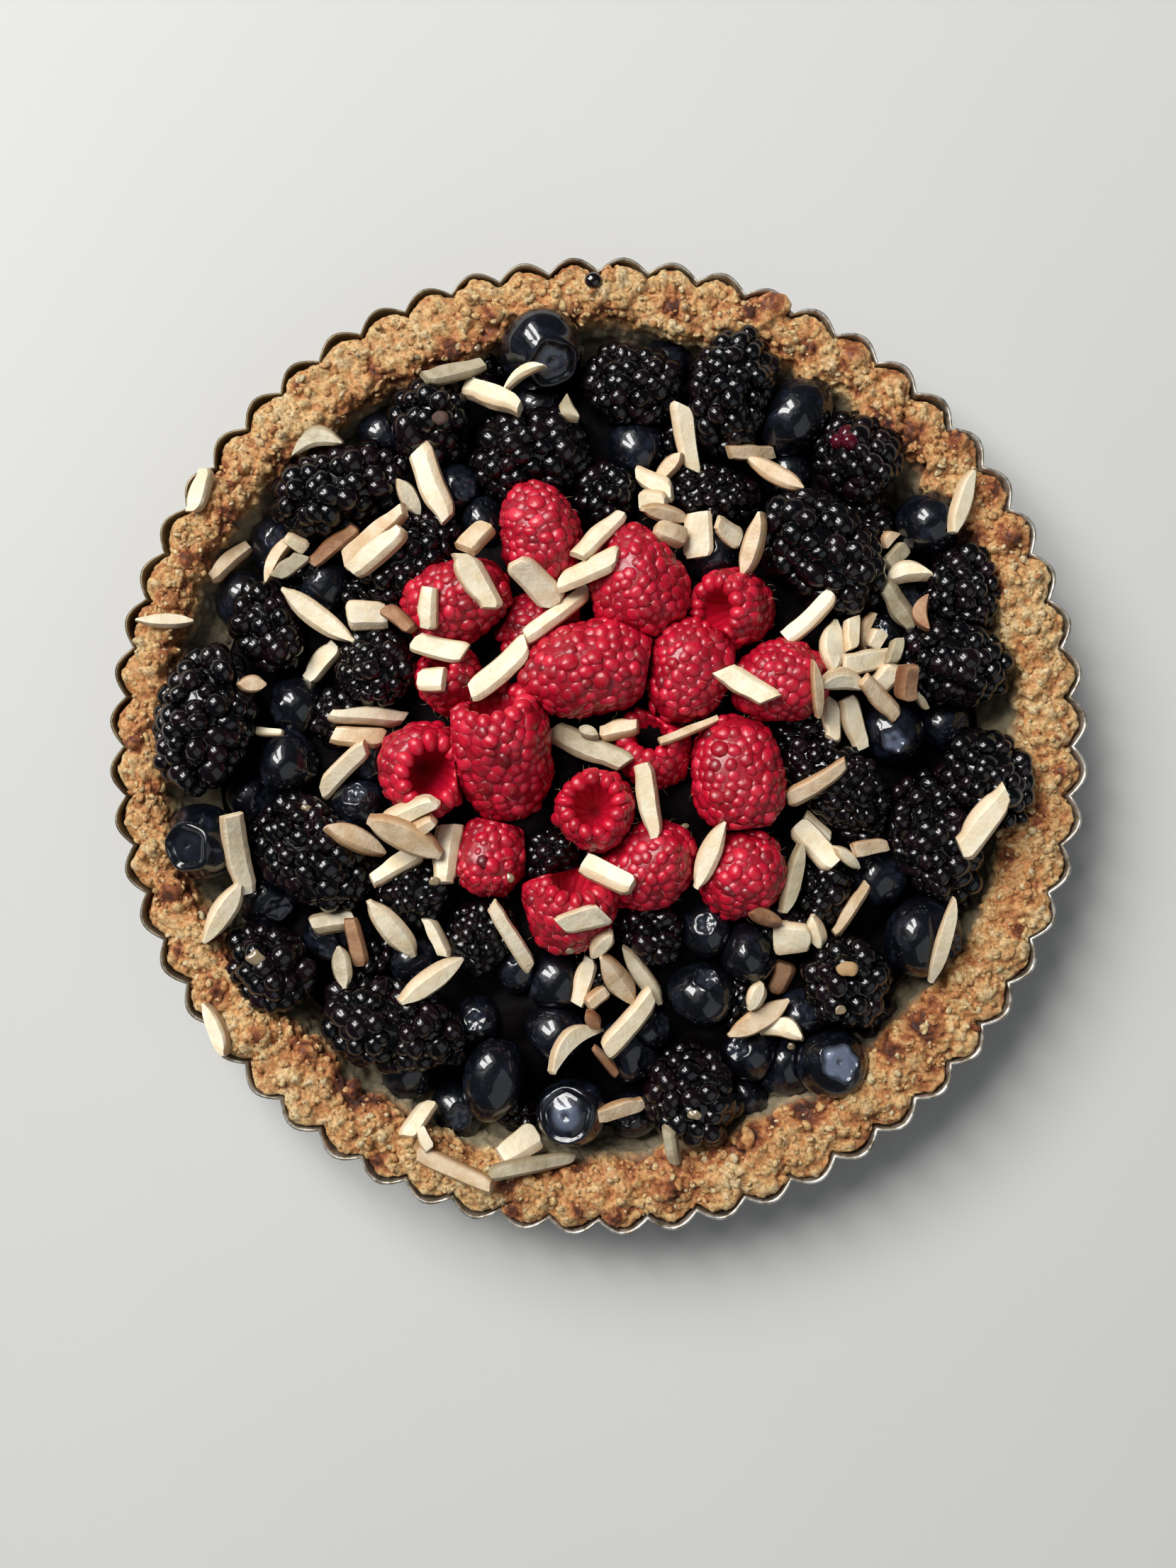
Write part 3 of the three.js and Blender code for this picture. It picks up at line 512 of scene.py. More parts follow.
def pastry_material():
    pastry = Shader("oat_pastry_baked", Coat_Weight=0.12, Coat_Roughness=0.22, Subsurface_Weight=0.08,
                    Subsurface_Scale=0.002)
    colour = pastry.ramp(pastry.tone(), (0.0, 82, 42, 26), (0.2, 166, 92, 50), (0.42, 226, 160, 98),
                         (0.68, 244, 202, 140), (1.0, 250, 228, 182))
    speckle = pastry.noise(1100, roughness=0.65)
    fleck = pastry.ramp(speckle, (0.36, 186, 168, 146), (0.56, 255, 255, 255))
    rim = pastry.mix(1.0, colour, fleck, "MULTIPLY")
    wall = pastry.mix(pastry.noise(420, detail=5, roughness=0.65), srgb(116, 100, 74), srgb(196, 182, 150))
    below = pastry.span(pastry.height(), 1.0, 0.0, 0.0195, 0.0235)
    rough = pastry.span(pastry.noise(420), 0.45, 0.8)
    pastry.bump((pastry.noise(1500, detail=5, roughness=0.8), 0.0006), (pastry.cells(820), 0.00012))
    return pastry.set(Base_Color=pastry.mix(below, rim, wall), Roughness=rough)


def bramble_material():
    fruit = Shader("bramble_skin_black", Coat_Weight=0.9, Coat_Roughness=0.04, Specular_IOR_Level=0.12)
    tint = fruit.ramp(fruit.tone(), (0.0, 2, 2, 4), (0.7, 26, 9, 16), (1.0, 74, 8, 26))
    rough = fruit.span(fruit.noise(420), 0.1, 0.36)
    fruit.bump((fruit.noise(420, detail=3), 0.00045), (fruit.noise(1600, detail=2), 0.00006))
    return fruit.set(Base_Color=tint, Roughness=rough)


def filling_material():
    juice = Shader("dark_filling", Roughness=0.65, Specular_IOR_Level=0.05)
    juice.bump((juice.noise(300), 0.0005))
    # Nearly black: partly the dark juice's own colour and partly painted shade in the gaps between the
    # berries.
    return juice.set(Base_Color=juice.mix(juice.noise(200), srgb(2, 1, 2), srgb(9, 5, 6)))


def raspberry_material():
    fruit = Shader("raspberry_flesh", Coat_Weight=0.32, Coat_Roughness=0.14, Subsurface_Weight=0.4,
                   Subsurface_Scale=0.0018, Subsurface_Radius=(1.0, 0.16, 0.16))
    tint = fruit.ramp(fruit.tone(), (0.0, 96, 2, 14), (0.3, 162, 5, 32),
                      (0.7, 200, 13, 48), (1.0, 222, 54, 78))
    rough = fruit.span(fruit.noise(600), 0.26, 0.5)
    fruit.bump((fruit.noise(1500), 0.0001), (fruit.noise(420, detail=2), 0.00022))
    return fruit.set(Base_Color=tint, Roughness=rough)


def blueberry_material():
    fruit = Shader("blueberry_skin_glazed", Coat_Weight=1.0, Coat_Roughness=0.03, Specular_IOR_Level=0.2)
    skin = fruit.mix(fruit.noise(90), srgb(4, 5, 7), srgb(12, 14, 22))
    bloom = fruit.mask(fruit.noise(170, detail=6, roughness=0.7, distortion=0.8), 0.5, 0.74)
    dusty = fruit.mix(bloom, skin, srgb(36, 41, 56))
    colour = fruit.mix(fruit.tone(), dusty, srgb(106, 116, 138))
    rough = fruit.span(fruit.noise(260, detail=5), 0.14, 0.42)
    fruit.bump((fruit.noise(240, detail=2), 0.00045), (fruit.noise(800), 0.00008))
    return fruit.set(Base_Color=colour, Roughness=rough)


def almond_material(name, pale, deep, skin):
    nut = Shader(name, Subsurface_Weight=0.12, Subsurface_Scale=0.0012, Roughness=0.45)
    toast = nut.ramp(nut.noise(210, detail=5, roughness=0.6), (0.4, *pale), (0.64, *deep))
    edge = nut.mask(nut.tone(), 0.6, 1.0)
    colour = nut.mix(edge, toast, srgb(*skin))
    nut.bump((nut.noise(1300), 0.0001), (nut.noise(420), 0.0003))
    return nut.set(Base_Color=colour)


def plain_material(name, colour, **settings):
    plain = Shader(name, **settings)
    red, green, blue, alpha = srgb(*colour)
    darker = (0.8 * red, 0.8 * green, 0.8 * blue, alpha)
    shade = plain.mix(plain.noise(300), srgb(*colour), darker)
    return plain.set(Base_Color=shade)


MATERIALS = {
    "tin": tin_material(),
    "pastry": pastry_material(),
    "bramble": bramble_material(),
    "dark": filling_material(),
    "raspberry": raspberry_material(),
    "blueberry": blueberry_material(),
    "core": plain_material("bramble_core", (186, 150, 104), Roughness=0.6),
    "pit": plain_material("bramble_pit", (74, 50, 38), Roughness=0.7),
    "hair": plain_material("raspberry_hair", (226, 190, 150), Roughness=0.5),
    "juice": plain_material("juice_drop", (14, 6, 8), Roughness=0.08, Coat_Weight=1.0),
    "jelly": plain_material("set_jelly", (166, 146, 112), Roughness=0.2, Coat_Weight=0.8,
                            Transmission_Weight=0.3),
    "c": almond_material("almond_cream", (238, 229, 204), (230, 212, 176), (206, 178, 142)),
    "t": almond_material("almond_tan", (230, 210, 180), (208, 178, 138), (178, 138, 98)),
    "b": almond_material("almond_brown", (180, 140, 106), (150, 106, 74), (120, 76, 50)),
    "g": almond_material("almond_grey", (200, 190, 164), (172, 158, 128), (146, 128, 98)),
}


# The tin

def flute_draw(angle):
    """How far the flutes draw the wall in: nothing at a crest, all of the depth at a notch."""
    return FLUTE_DEPTH * (1 - np.abs(np.sin(FLUTES * angle / 2)))


def tin_radius(height):
    return TIN_FOOT_RADIUS + (TIN_TOP_RADIUS - TIN_FOOT_RADIUS) * height / TIN_HEIGHT


def make_tin():
    lip = 0.45
    inner = TIN_WALL + 0.05
    profile = [(0, 0), (60, 0), (110, 0), (tin_radius(0) - 0.8, 0), (tin_radius(0), 0.8)]
    profile += [(tin_radius(h), h) for h in np.linspace(3, TIN_HEIGHT - 2 * lip, 8)]
    profile += [(TIN_TOP_RADIUS, TIN_HEIGHT - lip), (TIN_TOP_RADIUS - 0.3, TIN_HEIGHT),
                (TIN_TOP_RADIUS - inner, TIN_HEIGHT - 0.1)]
    profile += [(tin_radius(h) - inner, h) for h in np.linspace(TIN_HEIGHT - 1, 2, 8)]
    profile += [(tin_radius(1) - 2, 1), (60, 1), (0, 1)]
    columns = FLUTES * 10
    angle = evenly(columns)
    points = []
    for radius, height in profile:
        shape = radius
        if radius > FLUTED_FROM:
            shape = radius - flute_draw(angle) + 0.12 * np.sin(9 * angle + height)
        points.append(about_z(shape, angle, height))
    # Painted shade: the tone peaks on the upper-left side, where the tin's inner face turns away from the
    # window lights, and browns the tin there.
    painted_shade_side = np.tile(0.5 + 0.5 * np.cos(angle - math.radians(150)), len(profile))
    tin = (np.vstack(points), grid_faces(len(profile), columns), painted_shade_side)
    piece("tin_fluted", [tin], MATERIALS["tin"], "tin_metal", "tart_tin")


# The pastry

def around(angle, size, seed):
    """Smooth noise along the rim, with bumps about size millimetres long."""
    return noise(about_z(110, angle, 0), size, seed)


def crust_edge(angle):
    degrees, radii = zip(*CRUST_EDGE)
    ends = [degrees[-1] - 360, *degrees, degrees[0] + 360]
    values = [radii[-1], *radii, radii[0]]
    smooth = np.interp(np.degrees(angle) % 360, ends, values)
    return smooth + 1.5 * around(angle, 9, 71) + 1.1 * around(angle, 4.5, 72)


def tin_gap(angle):
    """How far the baked pastry has drawn back from the tin, most where the flutes bulge."""
    bulge = 1 - flute_draw(angle) / FLUTE_DEPTH
    wide = np.exp(-(((np.degrees(angle) % 360 - 140) / 34) ** 2))
    return 0.2 + bulge * (0.35 + 1.5 * wide + 0.35 * around(angle, 26, 73)) + 0.2 * around(angle, 4, 74)


def room_in_tin(points):
    """Each point's radius and angle, and the radius of the tin's inner face there."""
    radius, turn = np.hypot(points[:, 0], points[:, 1]), np.arctan2(points[:, 1], points[:, 0])
    return radius, turn, tin_radius(np.minimum(points[:, 2], TIN_HEIGHT)) - flute_draw(turn) - TIN_WALL


def inside_tin(points):
    """Draws in what would pass through the tin's wall; above the rim it may hang over a little."""
    radius, _, room = room_in_tin(points)
    most = np.where(points[:, 2] > TIN_HEIGHT + 0.2, OVERHANG, room - 0.3)
    shrink = np.minimum(1, most / radius)
    return points * np.stack([shrink, shrink, np.ones(len(points))], axis=1)


def crust_profile():
    """Rows over the pastry's rim: radius at the outside, share of the inner edge, height, flutes, crags."""
    marks = np.array([
        [120.2, 0, 22, 1, 0],
        [120.6, 0, 24, 1, 0.25],
        [119.9, 0, 26.6, 1, 0.7],
        [117.4, 0.1, CRUST_TOP - 0.2, 0.85, 1],
        [113.5, 0.4, CRUST_TOP + 0.3, 0.4, 1],
        [110, 0.75, CRUST_TOP, 0.05, 1],
        [107.6, 1, CRUST_TOP - 1.6, 0, 1],
        [106.2, 1, CRUST_TOP - 4.5, 0, 0.9],
        [105, 0.9, 20, 0, 0.7],
        [102.5, 0.6, 15, 0, 0.6],
        [98.6, 0.2, 11.2, 0, 0.5],
    ])
    length = np.concatenate([[0], np.cumsum(np.hypot(*np.diff(marks[:, [0, 2]], axis=0).T))])
    wanted = np.interp(np.linspace(0, 1, CRUST_ROWS), [0, 0.72, 1], [0, length[7], length[-1]])
    return np.stack([np.interp(wanted, length, marks[:, k]) for k in range(5)], axis=1)


def domed(distance, edge=0.95):
    """The height of a dome at this distance from its middle."""
    return np.sqrt(np.maximum(0, 1 - (distance / edge) ** 2))


def crust_relief(points):
    """Crumb relief in millimetres and the pastry's tone for points on the smooth pastry."""
    clods, clod_number = grains(points, 5.4, 37)
    crumbs, crumb_number = grains(points, 2.3, 11)
    grit, grit_number = grains(points, 1.2, 23)
    rise = 1.1 * noise(points, 8, 3) + 0.5 * noise(points, 3.6, 4) - 2.1
    rise += 1.7 * domed(clods) * clod_number + 1.5 * domed(crumbs) * (0.3 + crumb_number)
    rise += 0.5 * domed(grit) * (0.4 + grit_number) - 1.6 * np.maximum(0, noise(points, 2.8, 6) - 0.42)
    rise += 0.35 * noise(points, 1.3, 29)
    # Painted shade: 0.1 * rise makes raised crumbs paler and the hollows between them darker.
    tone = 0.64 + 0.1 * rise + 0.28 * (crumb_number - 0.5) + 0.2 * (grit_number - 0.5)
    return rise, tone + 0.16 * noise(points, 12, 8) - 0.1 * (clod_number > 0.75)


def toasting(points):
    """How toasted the pastry is, by how near a toasted lump it lies."""
    total = np.zeros(len(points))
    for angle, radius, size in TOASTED:
        middle = radius * np.array([math.cos(math.radians(angle)), math.sin(math.radians(angle))])
        total += 0.5 * np.exp(-(np.linalg.norm(points[:, :2] - middle, axis=1) / (1.15 * size)) ** 2)
    return np.minimum(total, 0.66)


def make_crust():
    rows = crust_profile()
    angle = evenly(CRUST_COLUMNS)
    edge = crust_edge(angle) - CRUST_INNER
    base, out, crag = [], [], []
    for k, (radius, share, height, flutes, crags) in enumerate(rows):
        base.append(about_z(radius + share * edge - flutes * flute_draw(angle), angle, height))
        before, after = rows[max(k - 1, 0)], rows[min(k + 1, len(rows) - 1)]
        run, climb = after[0] - before[0], after[2] - before[2]
        span = math.hypot(run, climb)
        out.append(about_z(climb / span, angle, -run / span))
        crag.append(np.full(CRUST_COLUMNS, crags))
    base = np.vstack(base)
    rise, tone = crust_relief(base)
    points = base + np.vstack(out) * (rise * np.concatenate(crag))[:, None]
    radius, turn, room = room_in_tin(points)
    most = room - tin_gap(turn)
    points[:, :2] *= np.minimum(1, most / radius)[:, None]
    inner = np.clip(1 - np.abs(radius - CRUST_INNER - np.tile(edge, CRUST_ROWS)) / 3.5, 0, 1)
    outer = np.clip(1 - np.abs(radius - most) / 2.2, 0, 1) * np.clip(around(turn, 30, 75) + 0.4, 0, 1)
    tone = tone - (0.36 * inner + 0.24 * outer) * np.clip(0.75 + around(turn, 16, 76), 0, 1.3)
    underside = ((94, 10), (0, 8.5), (0, 2), (112, 3))
    everything = np.vstack([points, *(about_z(radius, angle, height) for radius, height in underside)])
    faces = grid_faces(len(everything) // CRUST_COLUMNS, CRUST_COLUMNS)[:, ::-1]
    first = np.arange(CRUST_COLUMNS)
    after = (first + 1) % CRUST_COLUMNS
    last = len(everything) - CRUST_COLUMNS
    join = np.stack([last + first, first, after, last + after], axis=1)
    tones = np.full(len(everything), 0.3)
    tones[:len(points)] = np.clip(tone - toasting(points), 0, 1)
    crust = [(everything, np.vstack([faces, join]), tones)]
    piece("crust_baked", crust, MATERIALS["pastry"], "oat_pastry", "crust")
    return points


def make_crumbs(surface):
    """Oat flakes and crumbs lying on the pastry's rim."""
    draw = np.random.default_rng(17)
    radius = np.hypot(surface[:, 0], surface[:, 1])
    on_top = np.flatnonzero((surface[:, 2] > CRUMBS_ABOVE) & (radius < CRUMBS_WITHIN))
    template, faces = ball(1)
    flakes = surface[draw.choice(on_top, FLAKE_COUNT, replace=False)]
    crumbs = surface[draw.choice(on_top, CRUMB_COUNT, replace=False)]
    chunks = []
    for centres, low, high, thin in ((flakes, 0.8, 1.9, 0.32), (crumbs, 0.35, 0.85, 0.85)):
        count = len(centres)
        across, along = draw.normal(0, 0.45, count), draw.normal(0, 0.45, count)
        tilt = unit(np.stack([across, along, np.ones(count)], axis=1))
        spin = draw.uniform(0, TAU, count)
        ahead, aside = about_z(1, spin, 0), about_z(1, spin + TAU / 4, 0)
        turn = np.stack([ahead, aside, np.cross(ahead, aside)], axis=2)
        size = low + (high - low) * draw.random(count) ** 1.6
        sizes = np.stack([size, size * draw.uniform(0.55, 0.85, count), size * thin], axis=1)
        points, quads = stamp((template, faces), centres + 0.15 * tilt, frames_about(tilt) @ turn, sizes)
        points = points + 0.18 * wobble(points, 0.9, (31, 32, 33))
        tones = np.repeat(np.clip(draw.normal(0.66, 0.18, count), 0.12, 1), len(template))
        chunks.append((inside_tin(points), quads, tones))
    template, faces = ball(3)
    for angle, radius, size in TOASTED:
        turn = math.radians(angle)
        place = np.array([radius * math.cos(turn), radius * math.sin(turn)])
        near = np.argmin(np.linalg.norm(surface[on_top][:, :2] - place, axis=1))
        centre = np.array([*place, surface[on_top][near, 2] - 0.45 * size])
        points = centre + template * size * draw.uniform(0.75, 1.05, 3)
        rise, tone = crust_relief(points)
        points = inside_tin(points + 0.7 * rise[:, None] * template)
        chunks.append((points, faces, np.clip(tone - toasting(points), 0.02, 1)))
    piece("crust_oats", chunks, MATERIALS["pastry"], "oat_pastry")


# Berries

def spheroid(berry):
    x, y, z, long, wide, turn, lift = berry[:7]
    return {"centre": np.array([x, y, z], float), "axis": berry_turn(turn, lift)[:, 2],
            "long": long / 2, "wide": wide / 2}


def reach(form, direction):
    """How far a spheroid reaches from its centre in a direction."""
    along = form["axis"] @ direction
    return math.sqrt((form["long"] * along) ** 2 + form["wide"] ** 2 * (1 - along**2))


def parting_plane(a, b):
    """The direction that best parts two spheroids and the room between them, negative if they press."""
    apart = b["centre"] - a["centre"]

    def room(direction):
        return apart @ direction - reach(a, direction) - reach(b, direction)

    best = unit(apart)
    step = 0.5
    while step > 0.02:
        side = unit(np.cross([0.3, 0.5, 0.8], best))
        other = np.cross(side, best)
        for way in (side, other, -side, -other):
            tried = unit(best + step * way)
            if room(tried) > room(best):
                best = tried
        step *= 0.6
    return best, room(best)


def press_planes(forms):
    """For each form, the planes that flatten it where a neighbour presses: a point and a direction."""
    planes = [[] for _ in forms]
    for i, a in enumerate(forms):
        for j in range(i + 1, len(forms)):
            b = forms[j]
            if np.linalg.norm(a["centre"] - b["centre"]) > a["long"] + b["long"]:
                continue
            direction, room = parting_plane(a, b)
            if room < 0:
                middle = a["centre"] + direction * (reach(a, direction) + room / 2)
                planes[i].append((middle, direction))
                planes[j].append((middle, -direction))
    return planes


def pressed(points, planes):
    """Makes a berry a little uneven and moves what passes a press plane back on to it."""
    points = points + 0.75 * wobble(points, 8.5, (51, 52, 53))
    for middle, direction in planes:
        past = (points - middle) @ direction
        points = points - np.maximum(past, 0)[:, None] * direction
    return points


def profile(long, wide, blunt, taper, low=-1.0, high=1.0, count=160):
    """The outline of a blunt berry from its base to its tip: radii and heights."""
    along = -np.cos(np.linspace(math.acos(-low), math.acos(-high), count))
    girth = np.sqrt(np.maximum(1 - np.abs(along) ** blunt, 0)) * (1 - taper * along)
    return girth * wide / 2, along * long / 2


def drupelet_places(radii, heights, spacing, draw, jitter):
    """Staggered rings of places over a turned outline, with the outward direction at each."""
    length = np.concatenate([[0], np.cumsum(np.hypot(np.diff(radii), np.diff(heights)))])
    rows = max(3, round(length[-1] / (0.84 * spacing)))
    places, normals = [], []
    for row in range(rows + 1):
        at = length[-1] * (row + 0.5) / (rows + 1)
        radius, height = np.interp(at, length, radii), np.interp(at, length, heights)
        run, climb = (np.interp(at + 0.5, length, values) - np.interp(at - 0.5, length, values)
                      for values in (radii, heights))
        span = math.hypot(run, climb)
        count = max(1, round(TAU * radius / spacing))
        share = spacing / max(radius, 1)
        turns = (np.arange(count) + 0.5 * (row % 2)) / count * TAU + draw.uniform(-0.25, 0.25) * share
        turns = turns + draw.normal(0, jitter, count) * share
        places.append(about_z(radius, turns, height + draw.normal(0, jitter, count) * spacing))
        normals.append(about_z(climb / span, turns, -run / span))
    return np.vstack(places), np.vstack(normals)


# The shapes that drupelets are stamped from. Those that face down further than HIDDEN are left out, and a
# raspberry whose tip dips further than OPEN_LIFT shows its open end. VARY is how much drupelets differ.
BRAMBLE_DOME = dome_template(12, 5, 118)
SUNKEN_DOME = dome_template(10, 4, 105)
RASPBERRY_DOME = dome_template(10, 4, 100)
HIDDEN = -0.42
OPEN_LIFT = -20
VARY = 0.13


def make_drupelets(places, normals, size, template, berry, draw, depth, spread, stand):
    """Drupelets on a berry's outside, in the tart's frame, without those that nothing can see."""
    places, normals = seated(berry, places), normals @ berry_turn(berry[5], berry[6]).T
    seen = normals[:, 2] > HIDDEN
    places, normals = places[seen], normals[seen]
    count = len(places)
    normals = unit(normals + draw.normal(0, 0.12, (count, 3)))
    width = size * spread * np.clip(draw.normal(1.0, VARY, count), 0.7, 1.3)
    across, high = draw.uniform(0.86, 1.16, count), stand * draw.uniform(0.86, 1.16, count)
    sizes = width[:, None] * np.stack([np.ones(count), across, high], axis=1)
    points, faces = stamp(template, places - normals * (depth * size), frames_about(normals), sizes)
    return points + 0.06 * size * wobble(points, size * 0.7, (41, 42, 43)), faces, count


def bramble_chunks(berry, planes, seed, template=BRAMBLE_DOME):
    """A bramble: a dark core and its drupelets."""
    long, wide, size = berry[3], berry[4], 1.07 * berry[7]
    draw = np.random.default_rng(seed)
    inset = 0.36 * size
    radii, heights = profile(long - 2 * inset, wide - 2 * inset, 2.3, 0.08)
    core, core_faces = turned(0.93 * radii[::6], 0.93 * heights[::6], 20)
    places, normals = drupelet_places(radii, heights, size, draw, 0.16)
    points, faces, count = make_drupelets(places, normals, size, template, berry, draw, 0.14, 0.56, 0.94)
    tones = np.clip(draw.normal(0.12, 0.18, count), 0, 0.6)
    poles = points.reshape(count, -1, 3)[:, 0, :2]
    tones[np.linalg.norm(poles - RED_DRUPELET, axis=1) < 3] = 1
    tones = np.repeat(tones, len(template[0]))
    return [(pressed(seated(berry, core), planes), core_faces, 0.0), (pressed(points, planes), faces, tones)]


def rim_drupelets(berry, rim, half, height, draw):
    """The ring of drupelets that curl over a raspberry's open end into its hollow."""
    size = berry[7]
    count = max(6, round(TAU * rim / (0.98 * size)))
    turns = (np.arange(count) + draw.uniform(-0.12, 0.12, count)) / count * TAU
    across = about_z(1, turns + TAU / 4, 0)
    out = unit(about_z(0.12, turns, -1))
    frames = berry_turn(berry[5], berry[6]) @ np.stack([across, np.cross(out, across), out], axis=2)
    wide = 0.56 * size * draw.uniform(0.88, 1.12, count)
    deep, high = half * draw.uniform(0.9, 1.15, count), wide * draw.uniform(0.85, 1.15, count)
    sizes = np.stack([wide, deep, high], axis=1)
    points, faces = stamp(RASPBERRY_DOME, seated(berry, about_z(rim, turns, height)), frames, sizes)
    return points, faces, np.repeat(np.clip(draw.normal(0.6, 0.12, count), 0, 1), len(RASPBERRY_DOME[0]))


def raspberry_hollow(radii, heights, mouth, depth, ribs):
    """A raspberry's core wall: outside, over the open end and down a ribbed hollow."""
    columns = 60
    inside = [(0.0, 1.16), (0.22, 1.04), (0.46, 0.88), (0.64, 0.68), (0.8, 0.42), (0.92, 0.18), (1.0, 0.0)]
    across, down = np.array(inside).T
    shell_radii = np.concatenate([across * mouth, radii[::6], [0]])
    shell_heights = np.concatenate([heights[0] + down * depth, heights[::6], heights[-1:]])
    shell, faces = turned(shell_radii, shell_heights, columns)
    row = np.repeat(np.arange(len(shell_radii)), columns)
    angle = np.tile(evenly(columns), len(shell_radii))
    rib = np.where(row < len(inside), 0.07 * np.cos(ribs * angle), 0)[:, None]
    shell[:, :2] *= 1 - rib
    # Painted shade: the two deepest rows at the bottom of the hollow are 0.3 darker.
    tone = np.where(row < len(inside), 0.55 - 2.2 * rib[:, 0] - 0.3 * (row < 2), 0.3)
    return shell, faces, np.clip(tone, 0, 1)


def raspberry_chunks(berry, planes, seed):
    """A raspberry: its hollow core, the drupelets outside, and those that curl over its open end."""
    long, wide, size = berry[3], berry[4], berry[7]
    draw = np.random.default_rng(seed)
    inset = 0.26 * size
    opened = berry[6] < OPEN_LIFT
    radii, heights = profile(long - 2 * inset, wide - 2 * inset, 2.6, 0.14, low=-0.74 if opened else -0.9)
    heights = heights[-1] - (heights[-1] - heights) * (long - 2 * inset) / (heights[-1] - heights[0])
    mouth = 0.26 * wide if opened else 0.7 * radii[0]
    rim = (radii[0] + mouth) / 2
    ribs = max(6, round(TAU * rim / (0.98 * size)))
    shell, shell_faces, shell_tone = raspberry_hollow(radii, heights, mouth, 0.46 * long, ribs)
    places, normals = drupelet_places(radii, heights, size, draw, 0.12)
    points, faces, count = make_drupelets(places, normals, size, RASPBERRY_DOME, berry, draw, 0.2, 0.58, 0.62)
    tones = np.repeat(np.clip(draw.normal(0.5, 0.16, count), 0, 1), len(RASPBERRY_DOME[0]))
    curled = rim_drupelets(berry, rim, (radii[0] - mouth) / 2 + 0.3 * size, heights[0], draw)
    chunks = [(seated(berry, shell), shell_faces, shell_tone), (points, faces, tones), curled]
    return [(pressed(points, planes), faces, tones) for points, faces, tones in chunks]


def raspberry_hairs(berry, draw):
    """Fine pale styles standing between the drupelets."""
    radii, heights = profile(berry[3], berry[4], 2.6, 0.14, low=-0.8)
    places, normals = drupelet_places(radii, heights, berry[7], draw, 0.2)
    places, normals = seated(berry, places), normals @ berry_turn(berry[5], berry[6]).T
    seen = np.flatnonzero(normals[:, 2] > 0)
    chosen = draw.choice(seen, min(26, len(seen)), replace=False)
    points, faces = [], []
    for place, normal in zip(places[chosen], normals[chosen]):
        bend = draw.normal(0, 1, 3)
        bend = unit(bend - bend @ normal * normal)
        length = draw.uniform(1.0, 2.2)
        side = np.cross(normal, bend)
        faces.append(grid_faces(5, 3) + len(points))
        for t in np.linspace(0, 1, 5):
            middle = place - 0.6 * normal + normal * length * t * 0.7 + bend * length * t * t * 0.8
            for turn in evenly(3):
                spoke = math.cos(turn) * side + math.sin(turn) * np.cross(side, normal)
                points.append(middle + 0.05 * (1 - 0.7 * t) * spoke)
    return np.array(points), np.vstack(faces), 0.5


def blueberry_chunks(berry, planes, seed, bloom, detail=(60, 36), crown_size=None, raised=1.0):
    """A blueberry: a ball with the raised five-lobed ring of its crown round a dimple."""
    long, wide = berry[3:5]
    draw = np.random.default_rng(seed)
    columns, rows = detail
    polar = np.linspace(0, math.pi, rows)
    polar = polar - 0.3 * np.sin(polar) * (polar < math.pi / 2) * np.sin(2 * polar)
    polar, angle = np.meshgrid(polar, evenly(columns), indexing="ij")
    lobes = np.cos(5 * angle + draw.uniform(0, TAU))
    big = crown_size is not None and crown_size > 0.55
    crown = (crown_size or draw.uniform(0.33, 0.42)) * (1 + (0.04 if big else 0.13) * lobes)
    pale = 1 / (1 + np.exp((polar - np.minimum(crown, 0.42 if big else 0.6) + 0.03) / 0.04))
    ring = np.exp(-(((polar - crown) / (0.15 if big else 0.08)) ** 2)) * (1.9 if big else 0.7 + 0.3 * lobes)
    inner = 1 / (1 + np.exp((polar - crown + 0.03) / 0.03))
    pit = np.exp(-((polar / 0.09) ** 2))
    shape = about_z(np.sin(polar) * wide / 2, angle, np.cos(polar) * long / 2).reshape(-1, 3)
    outward = shape / np.maximum(np.linalg.norm(shape, axis=1, keepdims=True), 1e-6)
    rise = ring * raised * draw.uniform(0.03, 0.055) - 0.05 * inner - 0.03 * pit
    shape[:, 2] += wide * rise.reshape(-1)
    shape += outward * (0.015 * wide * noise(shape, wide * 0.45, seed % 50)[:, None])
    shape += outward * (0.08 * noise(shape, 1.8, 7)[:, None])
    tone = np.clip(pale - 0.9 * pit - 0.4 * ring, 0, 1).reshape(-1) * bloom * draw.uniform(0.8, 1.0)
    return [(pressed(seated(berry, shape), planes), grid_faces(rows, columns)[:, ::-1], tone)]


def filling_height(radius):
    """The height of the filling's low dome at this radius."""
    return FILLING_TOP - FILLING_FALL * (radius / FILLING_FALL_RADIUS) ** 2


def sunken_row(x, y, wide, draw):
    """A half-sunken berry as a row like those of the tables."""
    z = filling_height(math.hypot(x, y)) + 0.16 * wide
    return x, y, z, wide * draw.uniform(0.9, 1.05), wide, draw.uniform(0, 360), draw.uniform(20, 85)


